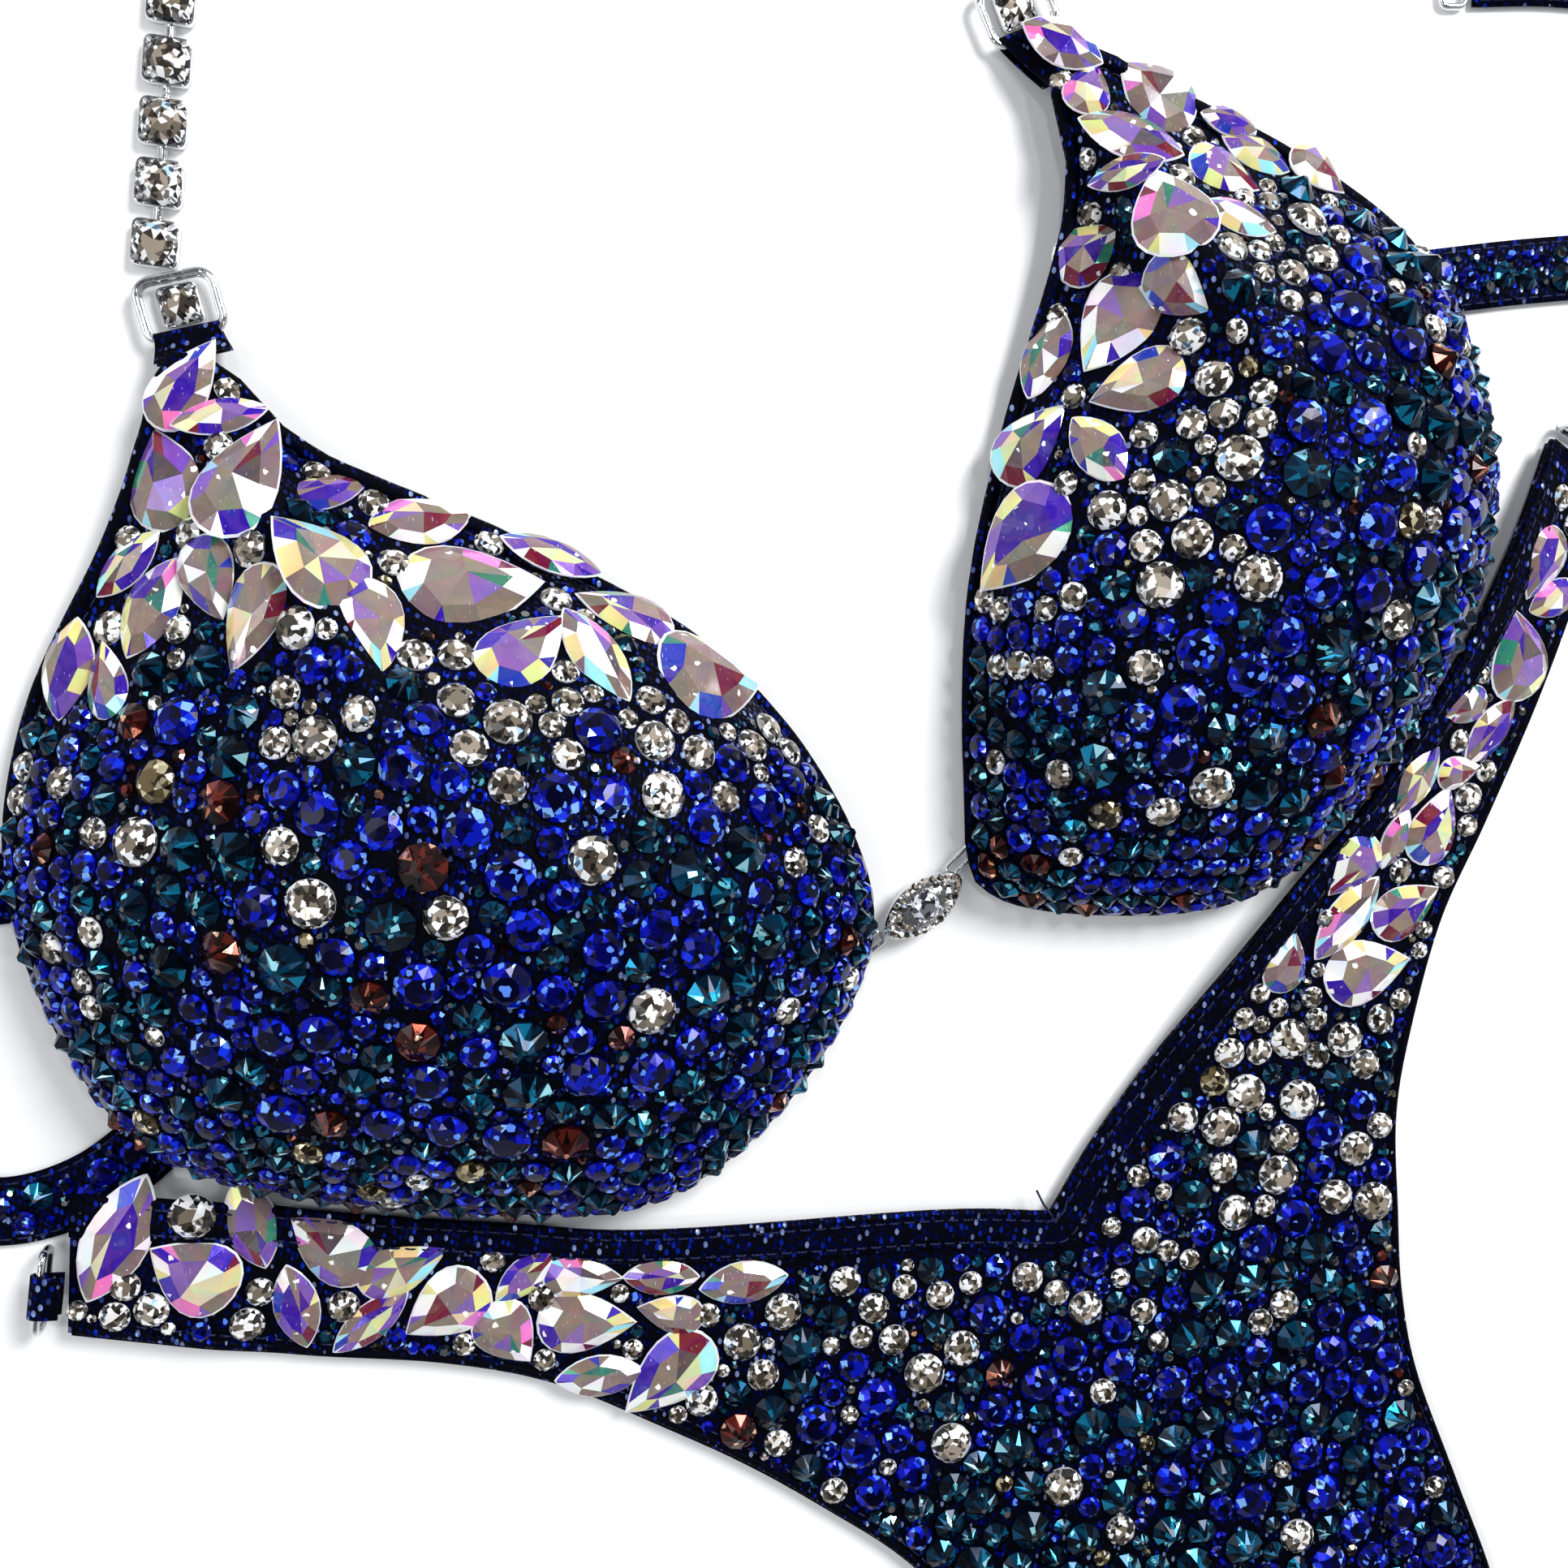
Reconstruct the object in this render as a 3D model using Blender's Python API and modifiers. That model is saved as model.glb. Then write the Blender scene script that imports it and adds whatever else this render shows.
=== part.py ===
"""Crystal-covered two-piece competition suit, laid flat: two padded cups, a halter chain and briefs.

Outlines are millimetres on the table, with +X to the right and +Y up the table. CENTRE moves them so
that the object's origin is the middle of its box, on the table.
"""

import math

import bmesh
import bpy
import numpy as np
from mathutils import Matrix, Vector

MM = 0.001
CENTRE = (10.6, -16.8)

# Layers of a cup, outside to inside: name, inset of its outer face, thickness.
CUP_LAYERS = (
    ("crystal_field", 0.0, 1.7, "sapphire_crystal"),
    ("outer_fabric", 2.6, 0.6, "glitter_mesh"),
    ("foam", 3.9, 2.2, "cup_foam"),
    ("lining", 7.2, 0.5, "lining_tricot"),
)
TAB_RISE = 5.0
CUP_SEGMENTS = 28
CUP_BANDS = 6
STATEMENT_RISE = 2.8
STATEMENT_THICK = 1.7

CUPS = {
    "left": {
        "centre": (-50.0, -8.0),
        "apex": 118.0,
        "height": 34.0,
        "rim_z": 3.8,
        "rim": (
            (-91, 67.5), (-95.5, 65), (-98, 56), (-104, 40), (-117, 14), (-121.5, -12), (-114.5, -38),
            (-102, -56), (-80, -65), (-45, -70.5), (-19, -68.5), (2, -52), (15, -26), (8, -1), (-12, 23),
            (-40, 39), (-67, 50.5), (-75, 54.5), (-81, 60.5), (-86.5, 66.5),
        ),
    },
    "right": {
        "centre": (78.0, 45.0),
        "apex": 113.0,
        "height": 34.0,
        "rim_z": 3.8,
        "rim": (
            (40, 115.5), (43.5, 106), (44.5, 97), (43, 86), (35, 57), (30, 30), (30, -1), (34, -19),
            (60, -24), (82.5, -21), (101, -5), (113, 13), (121, 32), (123, 52), (118, 72), (109, 90),
            (88, 103), (58, 114.5), (48.5, 118.5),
        ),
    },
}

# Briefs: half outlines about their own middle line, which runs down from the waist notch.
NOTCH = (47.0, -76.0)
BRIEFS_TURN = 27.3
WAIST = {
    "left": ((0, 0), (18, 11), (61, 33), (81, 46.5), (103, 62), (122, 76.5), (140, 89)),
    "right": ((0, 0), (17, 10), (60, 30), (83, 39), (107, 53), (126, 67), (144, 82)),
}
LEG = {
    "left": (
        (33, -150), (38, -128), (43, -106), (45, -83), (47, -59), (51, -43), (58, -28), (66, -13),
        (75, 1), (87, 18), (101, 31), (119, 44), (135, 57), (150, 69),
    ),
    "right": (
        (33, -150), (38, -132), (43, -112), (45, -89), (47, -65), (51, -49), (57, -34), (64, -18),
        (73, -5), (87, 11), (102, 23), (120, 38), (136, 53), (151, 68),
    ),
}
CROTCH_SHARE = 0.12
CROTCH_HALF = 33.0
CROTCH_Y = -152.0
WAIST_PACE = 2.85
# How far in from the waist each arm's large crystals start.
ARM_CRYSTALS_IN = {"left": 7.5, "right": 4.5}
# The left arm rises over the back strap: by how much, and between which places along the table.
STRAP_LIFT = 1.7
STRAP_LIFT_FROM = -82.0
STRAP_LIFT_TO = -97.0
# The right arm rises towards the right cup's flank: by how much, and from how many times the cup's reach.
FLANK_LIFT = 4.5
FLANK_LIFT_FROM = 1.45

BACK_PANEL_Z = 0.0
INNER_Z = 1.1
FRONT_Z = 2.1
STONES_Z = 3.2

# Straps, from the cup's outer corner to the hook: points on the table.
STRAPS = {
    "left": ((-112, -13), (-133, -15), (-144, -20), (-150, -34), (-148, -50), (-138, -61),
             (-125, -65), (-112, -62), (-101, -54), (-93, -44)),
    "right": ((107, 84), (128, 87), (146, 89), (162, 91), (174, 100), (177, 116), (168, 130),
              (152, 136), (134, 137), (118, 136)),
}
STRAP_WIDTH = 11.0
STRAP_ELASTIC_WIDTH = 8.0
CASING_THICK = 0.5
ELASTIC_THICK = 0.4
EDGE_ELASTIC_Z = 1.6
# The hook and the eye at the straps' ends: width, length and wire, and how far out their middle lies.
HOOK = (5.5, 12.0, 1.2)
HOOK_OUT = 3.4
HOOK_Z = 0.9

RINGS = {"left": ((-91.2, 69.6), 14.0), "right": ((39.5, 120.6), 25.0)}
RING_WIDE = 13.0
RING_TALL = 10.4
RING_WIRE = 1.3
RING_Z = 2.6
TAB_HALF_WIDTH = 4.6
TAB_LAP = 1.2
# The setting folded down inside the halter ring, and how far up the ring it sits.
RING_SETTING_RADIUS = 3.1
RING_SETTING_UP = 0.35
# A fabric fold round a ring's bar keeps this far off the bar, and is this thick.
FOLD_GAP = 0.35
FOLD_THICK = 0.6

STONE_PITCH = 8.8
SETTING_RADIUS = 3.5
SETTING_Z = 0.4
SETTING_TALL = 3.6
CHAIN_GROUPS = 5
GROUP_STONES = 3
LINK_HALF = 0.8
# Where each halter chain starts, its heading, how many stones run straight, and the turn per stone.
CHAINS = {"left": ((-95.6, 83.2), 84.0, 5, 12.0), "right": ((33.2, 134.4), 104.0, 0, -10.0)}

HIP_RING_WIDE = 14.0
HIP_RING_TALL = 6.0
HIP_RING_Z = 3.3
HIP_RING_OUT = 4.0
HIP_LOOP_LEGS = 2.6
HIP_LOOP_HALF_WIDTH = 4.5
# Where along each arm's end its ring hangs, from the waist edge to the leg edge.
HIP_RING_ALONG = {"left": 0.72, "right": 0.5}

CONNECTOR = (23.0, -20.5)
CONNECTOR_TURN = 38.0
CONNECTOR_Z = 3.4
CONNECTOR_LONG = 8.0
CONNECTOR_WIDE = 4.2
CONNECTOR_THICK = 1.6
CONNECTOR_STONE = 2.6
LINKS = {"left": (14.6, -27.0), "right": (30.0, -13.2)}
LINK_Z = 2.4
LINK_WIRE = 0.8

# The trigger clasp: half length and half width of its hoop, its wire radius, and its lever's points
# along and across the chain. The eye that it takes is a small ring: width, height and wire.
CLASP_REACH = (5.0, 3.2)
CLASP_OUT = 2.6
CLASP_RADIUS = 1.0
CLASP_Z = 1.8
LEVER = ((-3.9, 1.7), (-3.0, 2.5), (-1.9, 3.0))
LEVER_RADIUS = 0.5
CLOSURE_EYE = (7.0, 6.0, 1.1)

# The crotch seam: how far short of the crotch's corners it ends, and its near and far edges past them.
SEAM_SHORT = 2.0
SEAM_NEAR = 2.2
SEAM_FAR = 4.7
SEAM_TALL = 2.8


def world(x, y, z=0.0):
    """A place on the table, in millimetres, as a world position in metres."""
    return Vector((x - CENTRE[0], y - CENTRE[1], z)) * MM


def smooth_line(points, count, closed=False):
    """Evenly spaced points along a Catmull-Rom curve through the given ones."""
    rows = np.array(points, float)
    if closed:
        rows = np.vstack([rows[-1], rows, rows[:2]])
    else:
        rows = np.vstack([2 * rows[0] - rows[1], rows, 2 * rows[-1] - rows[-2]])
    steps = np.linspace(0, 1, 24, endpoint=False)[:, None]
    spans = []
    for a, b, c, d in zip(rows, rows[1:], rows[2:], rows[3:]):
        bend = steps * (c - a + steps * (2 * a - 5 * b + 4 * c - d + steps * (3 * b - a - 3 * c + d)))
        spans.append(b + bend / 2)
    line = np.vstack(spans + [rows[-2][None]])
    along = np.concatenate([[0], np.cumsum(np.linalg.norm(np.diff(line, axis=0), axis=1))])
    wanted = np.linspace(0, along[-1], count)
    return np.stack([np.interp(wanted, along, line[:, axis]) for axis in (0, 1)], axis=1)


def new_material(name, colour, roughness, metallic=0.0):
    material = bpy.data.materials.new(name)
    material.use_nodes = True
    shader = material.node_tree.nodes["Principled BSDF"]
    shader.inputs["Base Color"].default_value = (*colour, 1)
    shader.inputs["Roughness"].default_value = roughness
    shader.inputs["Metallic"].default_value = metallic
    return material


def make_materials():
    return {
        "sapphire_crystal": new_material("sapphire_crystal", (0.01, 0.02, 0.18), 0.08),
        "statement_crystal": new_material("statement_crystal", (0.62, 0.55, 0.75), 0.05),
        "glitter_mesh": new_material("glitter_mesh", (0.008, 0.01, 0.06), 0.45),
        "cup_foam": new_material("cup_foam", (0.02, 0.02, 0.03), 0.9),
        "lining_tricot": new_material("lining_tricot", (0.01, 0.01, 0.02), 0.7),
        "elastic": new_material("elastic", (0.015, 0.015, 0.02), 0.8),
        "silver": new_material("silver", (0.85, 0.86, 0.88), 0.15, 1.0),
        "clear_crystal": new_material("clear_crystal", (0.8, 0.8, 0.82), 0.05),
    }


def add_node(name, mesh, material):
    """An object in the parts collection, with its own material slot."""
    mesh.materials.append(MATERIALS[material])
    obj = bpy.data.objects.new(name, mesh)
    PARTS.objects.link(obj)
    return obj


def add_solidify(obj, thickness, offset):
    shell = obj.modifiers.new("Thickness", "SOLIDIFY")
    shell.thickness = thickness * MM
    shell.offset = offset
    shell.use_even_offset = False


def mesh_from(name, bm):
    mesh = bpy.data.meshes.new(name)
    bm.to_mesh(mesh)
    bm.free()
    mesh.shade_smooth()
    return mesh


def grid_mesh(name, columns, rows, place, weld=False):
    """A grid primitive whose corner (u, v), both from 0 to 1, is moved to place(u, v)."""
    bm = bmesh.new()
    bmesh.ops.create_grid(bm, x_segments=columns, y_segments=rows, size=0.5)
    for vert in bm.verts:
        vert.co = place(vert.co.x + 0.5, vert.co.y + 0.5)
    if weld:
        bmesh.ops.remove_doubles(bm, verts=bm.verts, dist=0.01 * MM)
    bm.normal_update()
    if sum(face.normal.z for face in bm.faces) < 0:
        bmesh.ops.reverse_faces(bm, faces=bm.faces)
    return mesh_from(name, bm)


def rim_line(cup):
    """The rim as points about the cup's middle."""
    return smooth_line(cup["rim"], 400, closed=True) - np.array(cup["centre"])


def reach_table(cup, inset):
    """Distance from the cup's middle, for every few degrees, to a line that far inside the rim."""
    key = f"reach {inset}"
    if key not in cup:
        line = rim_line(cup)
        turns = np.arange(0, 360, 3.0)
        around = np.degrees(np.arctan2(line[:, 1], line[:, 0])) % 360
        order = np.argsort(around)
        rim = np.interp(turns, around[order], np.hypot(line[:, 0], line[:, 1])[order], period=360)
        reach = rim.copy()
        for index, turn in enumerate(np.radians(turns)):
            tries = rim[index] - inset * np.linspace(1, 5, 120)
            spots = tries[:, None] * np.array([math.cos(turn), math.sin(turn)])
            apart = np.linalg.norm(spots[:, None] - line[None], axis=2).min(axis=1)
            reach[index] = tries[np.argmax(apart >= abs(inset) * 0.98)] if inset else rim[index]
        cup[key] = (turns, reach)
    return cup[key]


def rim_reach(cup, angle, inset=0.0):
    """Distance from the cup's middle to its rim in that direction, or to a line inside the rim."""
    turns, reach = reach_table(cup, inset)
    return float(np.interp(angle % 360, turns, reach, period=360))


def tab_share(cup, angle):
    """1 towards the halter tab, falling to 0 on the flanks."""
    away = abs((angle - cup["apex"] + 180) % 360 - 180)
    return math.exp(-((away / 42.0) ** 2))


def cup_point(cup, share, angle, inset):
    """A point of the dome: full in front, low and gentle towards the halter tab."""
    tab = tab_share(cup, angle)
    reach = rim_reach(cup, angle, inset) * share
    dome = max(0.0, 1 - share**2) ** (0.62 + 0.9 * tab)
    sunk = inset * (1 - (1 - tab) * share**6)
    high = cup["rim_z"] + TAB_RISE * tab * share + cup["height"] * dome - sunk
    turn = math.radians(angle)
    x = cup["centre"][0] + reach * math.cos(turn)
    y = cup["centre"][1] + reach * math.sin(turn)
    return world(x, y, high)


def add_cup_layer(side, name, inset, thickness, material):
    """Half a sphere, each of whose points moves to the cup's own rim and dome."""
    cup = CUPS[side]
    bm = bmesh.new()
    bmesh.ops.create_uvsphere(bm, u_segments=CUP_SEGMENTS, v_segments=2 * CUP_BANDS, radius=1)
    below = [vert for vert in bm.verts if vert.co.z < -0.01]
    bmesh.ops.delete(bm, geom=below, context="VERTS")
    for vert in bm.verts:
        share = min(1.0, math.hypot(vert.co.x, vert.co.y))
        angle = math.degrees(math.atan2(vert.co.y, vert.co.x)) + cup["apex"]
        vert.co = cup_point(cup, share, angle, inset)
    obj = add_node(f"{side}_cup_{name}", mesh_from(name, bm), material)
    add_solidify(obj, thickness, -1)


def add_statement_crystals(side):
    """The raised patch of large crystals, a fan around the halter tab."""
    cup = CUPS[side]
    facing = 1 if side == "left" else -1

    def place(u, v):
        angle = cup["apex"] + facing * (38.0 - 118.0 * u)
        inner = 0.52 + 0.4 * abs(u - 0.33)
        return cup_point(cup, inner + (0.95 - inner) * v, angle, -STATEMENT_RISE)

    mesh = grid_mesh("statement_crystals", 14, 4, place)
    obj = add_node(f"{side}_cup_statement_crystals", mesh, "statement_crystal")
    add_solidify(obj, STATEMENT_THICK, -1)


def add_edge_elastic(side):
    """A flat loop of elastic inside the cup's turned hem, just above the straps."""
    cup = CUPS[side]

    def place(u, v):
        turn = math.radians(360 * u)
        reach = rim_reach(cup, 360 * u, 12.0) - 4.0 * v - 24.0 * tab_share(cup, 360 * u)
        x = cup["centre"][0] + reach * math.cos(turn)
        y = cup["centre"][1] + reach * math.sin(turn)
        return world(x, y, EDGE_ELASTIC_Z)

    mesh = grid_mesh("edge_elastic", 40, 1, place, weld=True)
    obj = add_node(f"{side}_cup_edge_elastic", mesh, "elastic")
    add_solidify(obj, 0.7, 1)


def ribbon_mesh(name, points, width, low, columns):
    """A flat ribbon along a smooth line on the table."""
    line = smooth_line(points, columns + 1)
    heading = np.gradient(line, axis=0)
    heading /= np.linalg.norm(heading, axis=1)[:, None]

    def place(u, v):
        index = round(u * columns)
        across = (v - 0.5) * width
        x = line[index, 0] - heading[index, 1] * across
        y = line[index, 1] + heading[index, 0] * across
        return world(x, y, low)

    return grid_mesh(name, columns, 1, place)


def add_strap(side):
    """The back strap: its fabric casing above, the elastic below it and the hook or eye at its end."""
    casing = ribbon_mesh("strap", STRAPS[side], STRAP_WIDTH, 0.8, 26)
    obj = add_node(f"{side}_back_strap", casing, "glitter_mesh")
    add_solidify(obj, CASING_THICK, 1)
    elastic = ribbon_mesh("strap_elastic", STRAPS[side][:-1], STRAP_ELASTIC_WIDTH, 0.0, 24)
    obj = add_node(f"{side}_strap_elastic", elastic, "elastic")
    add_solidify(obj, ELASTIC_THICK, 1)


def add_wire_loop(name, wide, tall, wire, centre, turn, tilt=0.0, material="silver"):
    """A rounded-rectangle ring of round wire; tilt turns it up about its own long direction."""
    corner = min(wide, tall) * 0.2
    half = (wide / 2 - wire / 2, tall / 2 - wire / 2)
    path = []
    for start, (sx, sy) in enumerate(((1, 1), (-1, 1), (-1, -1), (1, -1))):
        for step in range(3):
            angle = math.radians(start * 90 + step * 45)
            path.append((sx * (half[0] - corner) + corner * math.cos(angle),
                         sy * (half[1] - corner) + corner * math.sin(angle)))
    curve = bpy.data.curves.new(name, "CURVE")
    curve.dimensions = "3D"
    curve.bevel_depth = wire / 2 * MM
    curve.bevel_resolution = 1
    curve.materials.append(MATERIALS[material])
    spline = curve.splines.new("POLY")
    spline.points.add(len(path) - 1)
    spline.use_cyclic_u = True
    for point, (x, y) in zip(spline.points, path):
        point.co = (x * MM, y * MM, 0, 1)
    obj = bpy.data.objects.new(name, curve)
    PARTS.objects.link(obj)
    obj.matrix_world = (
        Matrix.Translation(world(*centre))
        @ Matrix.Rotation(math.radians(turn), 4, "Z")
        @ Matrix.Rotation(math.radians(tilt), 4, "X")
    )
    return obj


def add_outline(name, outline, half_thickness, material):
    """A closed flat outline in millimetres, filled and extruded both ways."""
    curve = bpy.data.curves.new(name, "CURVE")
    curve.dimensions = "2D"
    curve.fill_mode = "BOTH"
    curve.extrude = half_thickness * MM
    curve.materials.append(MATERIALS[material])
    spline = curve.splines.new("POLY")
    spline.points.add(len(outline) - 1)
    spline.use_cyclic_u = True
    for point, (x, y) in zip(spline.points, outline):
        point.co = (x * MM, y * MM, 0, 1)
    obj = bpy.data.objects.new(name, curve)
    PARTS.objects.link(obj)
    return obj


def add_prism(name, outline, low, tall, material):
    """A flat outline on the table, filled and extruded upwards."""
    obj = add_outline(name, outline, tall / 2, material)
    obj.location = world(0, 0, low + tall / 2)
    return obj


def briefs_edge(table, share, side):
    """A point along one half of a waist or leg outline."""
    line = smooth_line(table[side], 200)
    x, y = line[min(199, round(share * 199))]
    return np.array([-x if side == "left" else x, y])


def briefs_line(u):
    """The waist point and the leg or crotch point of one cross line; u runs from -1 to 1."""
    side = "left" if u < 0 else "right"
    waist = briefs_edge(WAIST, abs(u) ** WAIST_PACE, side)
    if abs(u) < CROTCH_SHARE:
        leg = np.array([CROTCH_HALF * u / CROTCH_SHARE, CROTCH_Y])
    else:
        leg = briefs_edge(LEG, (abs(u) - CROTCH_SHARE) / (1 - CROTCH_SHARE), side)
    return waist, leg


def smooth_step(share):
    share = min(1.0, max(0.0, share))
    return share * share * (3 - 2 * share)


def arm_lift(x, y):
    """How far an arm rises: the left one over its strap, the right one against the right cup's flank."""
    if x < STRAP_LIFT_FROM:
        return STRAP_LIFT * smooth_step((STRAP_LIFT_FROM - x) / (STRAP_LIFT_FROM - STRAP_LIFT_TO))
    cup = CUPS["right"]
    out = (x - cup["centre"][0], y - cup["centre"][1])
    share = math.hypot(*out) / rim_reach(cup, math.degrees(math.atan2(out[1], out[0])))
    return FLANK_LIFT * smooth_step((FLANK_LIFT_FROM - share) / (FLANK_LIFT_FROM - 1))


def briefs_place(x, y):
    """A place about the waist notch, as a place on the table."""
    turn = math.radians(BRIEFS_TURN)
    across, along = math.cos(turn), math.sin(turn)
    return NOTCH[0] + x * across - y * along, NOTCH[1] + x * along + y * across


def briefs_point(u, inset, low, far=False):
    """A point that far in from the waist edge, or from the leg edge, along cross line u."""
    waist, leg = briefs_line(u)
    along = (leg - waist) / np.linalg.norm(leg - waist)
    x, y = briefs_place(*(leg - along * inset if far else waist + along * inset))
    return world(x, y, low + arm_lift(x, y))


def add_panel(name, ends, near, far, low, thickness, columns, rows, material):
    """A strip of the briefs between two insets: near from the waist, far from the leg (or the waist)."""
    near_from_leg, near_inset = near
    far_from_leg, far_inset = far

    def place(u, v):
        across = ends[0] + (ends[1] - ends[0]) * u
        first = briefs_point(across, near_inset, low, near_from_leg)
        last = briefs_point(across, far_inset, low, far_from_leg)
        point = first.lerp(last, v)
        lift = arm_lift(point.x / MM + CENTRE[0], point.y / MM + CENTRE[1])
        point.z = (low + lift) * MM
        return point

    obj = add_node(name, grid_mesh(name, columns, rows, place), material)
    add_solidify(obj, thickness, 1)


def add_briefs():
    waist, leg = False, True
    whole = (-0.99, 0.99)
    add_panel("briefs_back_panel", whole, (waist, 1.0), (leg, -1.5), BACK_PANEL_Z, 0.6, 40, 4,
              "glitter_mesh")
    add_panel("gusset_lining", (-0.3, 0.3), (waist, 72.0), (leg, 8.0), INNER_Z, 0.4, 12, 2,
              "lining_tricot")
    add_panel("waist_elastic", whole, (waist, 1.0), (waist, 6.0), INNER_Z, ELASTIC_THICK, 40, 1,
              "elastic")
    for side, ends in (("left", (-0.99, -0.1485)), ("right", (0.1485, 0.99))):
        add_panel(f"{side}_leg_elastic", ends, (leg, 6.0), (leg, 1.0), INNER_Z, ELASTIC_THICK, 17, 1,
                  "elastic")
    add_panel("briefs_front_panel", whole, (waist, 0.0), (leg, 0.0), FRONT_Z, 0.7, 40, 4, "glitter_mesh")
    add_panel("waist_casing", whole, (waist, 0.2), (waist, 6.6), STONES_Z, CASING_THICK, 40, 1,
              "glitter_mesh")
    add_panel("briefs_crystal_field", (-0.72, 0.72), (waist, 8.0), (leg, 1.5), STONES_Z, 2.0, 28, 4,
              "sapphire_crystal")
    for side, ends in (("left", (-0.985, -0.75)), ("right", (0.75, 0.985))):
        near = (waist, ARM_CRYSTALS_IN[side])
        add_panel(f"{side}_arm_crystals", ends, near, (leg, 1.0), STONES_Z + 1.2, 2.4, 12, 2,
                  "statement_crystal")


def crotch_seam():
    """The folded seam that joins the front panel to the back panel at the crotch."""
    half, near, far = CROTCH_HALF - SEAM_SHORT, CROTCH_Y - SEAM_NEAR, CROTCH_Y - SEAM_FAR
    outline = [briefs_place(x, y) for x, y in ((-half, far), (half, far), (half, near), (-half, near))]
    add_prism("crotch_seam", outline, 0.0, SEAM_TALL, "glitter_mesh")


def arm_end(side):
    """Where an arm's ring hangs on its end edge, the way out of the arm and the edge's heading."""
    sign = -0.99 if side == "left" else 0.99
    first = briefs_point(sign, 0.0, 0.0)
    last = briefs_point(sign, 0.0, 0.0, far=True)
    inward = briefs_point(sign * 0.97, 0.0, 0.0) - first
    edge = (last - first).to_2d().normalized()
    out = Vector((edge.y, -edge.x))
    if out.dot(inward.to_2d()) > 0:
        out.negate()
    middle = first.lerp(last, HIP_RING_ALONG[side]).to_2d() / MM + Vector(CENTRE)
    return middle, out, math.degrees(math.atan2(edge.y, edge.x))


def add_hip_ring(side):
    """The ring that joins front and back arms at the hip, standing on its edge, and its fabric loop."""
    middle, out, turn = arm_end(side)
    place = middle + out * HIP_RING_OUT
    at = (*place, HIP_RING_Z)
    add_wire_loop(f"{side}_hip_ring", HIP_RING_WIDE, HIP_RING_TALL, RING_WIRE, at, turn, 90.0)
    bar = HIP_RING_Z + (HIP_RING_TALL - RING_WIRE) / 2
    facing = math.degrees(math.atan2(out.y, out.x))
    add_fold(f"{side}_hip_loop", (*place, bar), facing, HIP_LOOP_LEGS, HIP_LOOP_HALF_WIDTH)


def add_fold(name, place, turn, legs, half_width):
    """A strip of fabric folded round a ring's bar at place; turn is the way that the fold points."""
    inner = RING_WIRE / 2 + FOLD_GAP
    outer = inner + FOLD_THICK
    outline = [(-legs, outer)]
    for radius, angles in ((outer, range(90, -91, -30)), (inner, range(-90, 91, 30))):
        outline += [(radius * math.cos(math.radians(a)), radius * math.sin(math.radians(a))) for a in angles]
        if radius == outer:
            outline += [(-legs, -outer), (-legs, -inner)]
    outline.append((-legs, inner))
    obj = add_outline(name, outline, half_width, "glitter_mesh")
    obj.matrix_world = (
        Matrix.Translation(world(*place))
        @ Matrix.Rotation(math.radians(turn), 4, "Z")
        @ Matrix.Rotation(math.radians(90), 4, "X")
    )


def add_tab(side):
    """The cup's halter tab, folded round the ring's lower bar."""
    (x, y), turn = RINGS[side]
    cup = CUPS[side]
    reach = rim_reach(cup, cup["apex"])
    apex = math.radians(cup["apex"])
    tip = Vector((cup["centre"][0] + reach * math.cos(apex), cup["centre"][1] + reach * math.sin(apex)))
    legs = (Vector((x, y)) - tip).length - TAB_LAP
    add_fold(f"{side}_neck_tab", (x, y, RING_Z), turn + 90, legs, TAB_HALF_WIDTH)


def add_neck_ring(side):
    """The halter ring, with the last setting of the chain folded down inside it."""
    (x, y), turn = RINGS[side]
    up = ring_up(side)
    middle = Vector((x, y)) + up * (RING_TALL - RING_WIRE) / 2
    at = (middle.x, middle.y, RING_Z)
    add_wire_loop(f"{side}_neck_ring", RING_WIDE, RING_TALL, RING_WIRE, at, turn)
    place = middle + up * RING_SETTING_UP
    add_round(f"{side}_ring_setting", place, RING_SETTING_RADIUS, SETTING_Z, SETTING_TALL, 12,
              "clear_crystal")


def add_round(name, place, radius, low, tall, segments, material, top=None):
    """A short cylinder, or a cone frustum where top is given, standing on the table."""
    bm = bmesh.new()
    bmesh.ops.create_cone(
        bm,
        cap_ends=True,
        segments=segments,
        radius1=radius * MM,
        radius2=(top or radius) * MM,
        depth=tall * MM,
    )
    obj = add_node(name, mesh_from(name, bm), material)
    obj.location = world(*place, low + tall / 2)
    return obj


def chain_places(side):
    """Centre of each stone in a halter chain, and the heading towards the next."""
    (x, y), heading, straight, turn = CHAINS[side]
    places = []
    for stone in range(CHAIN_GROUPS * GROUP_STONES + 1):
        heading += turn if stone >= straight else 0.0
        places.append((x, y, heading))
        x += STONE_PITCH * math.cos(math.radians(heading))
        y += STONE_PITCH * math.sin(math.radians(heading))
    return places


def chain_outline(places):
    """Round settings joined by narrow links, seen from above, as one outline."""
    slit = math.degrees(math.asin(LINK_HALF / SETTING_RADIUS))
    last = len(places) - 1

    def arc(place, start, end):
        for step in range(6):
            angle = math.radians(start + (end - start) * step / 5)
            yield place[0] + SETTING_RADIUS * math.cos(angle), place[1] + SETTING_RADIUS * math.sin(angle)

    outline = []
    for index, place in enumerate(places):
        came = places[max(0, index - 1)][2]
        start = came + 180 - slit if index else place[2] + 180
        outline += arc(place, start, place[2] + slit if index < last else came)
    for index in range(last, -1, -1):
        place = places[index]
        came = places[max(0, index - 1)][2]
        end = came - 180 + slit if index else place[2] - 180
        outline += list(arc(place, place[2] - slit if index < last else came, end))[index == last :]
    return outline[:-1]


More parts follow.
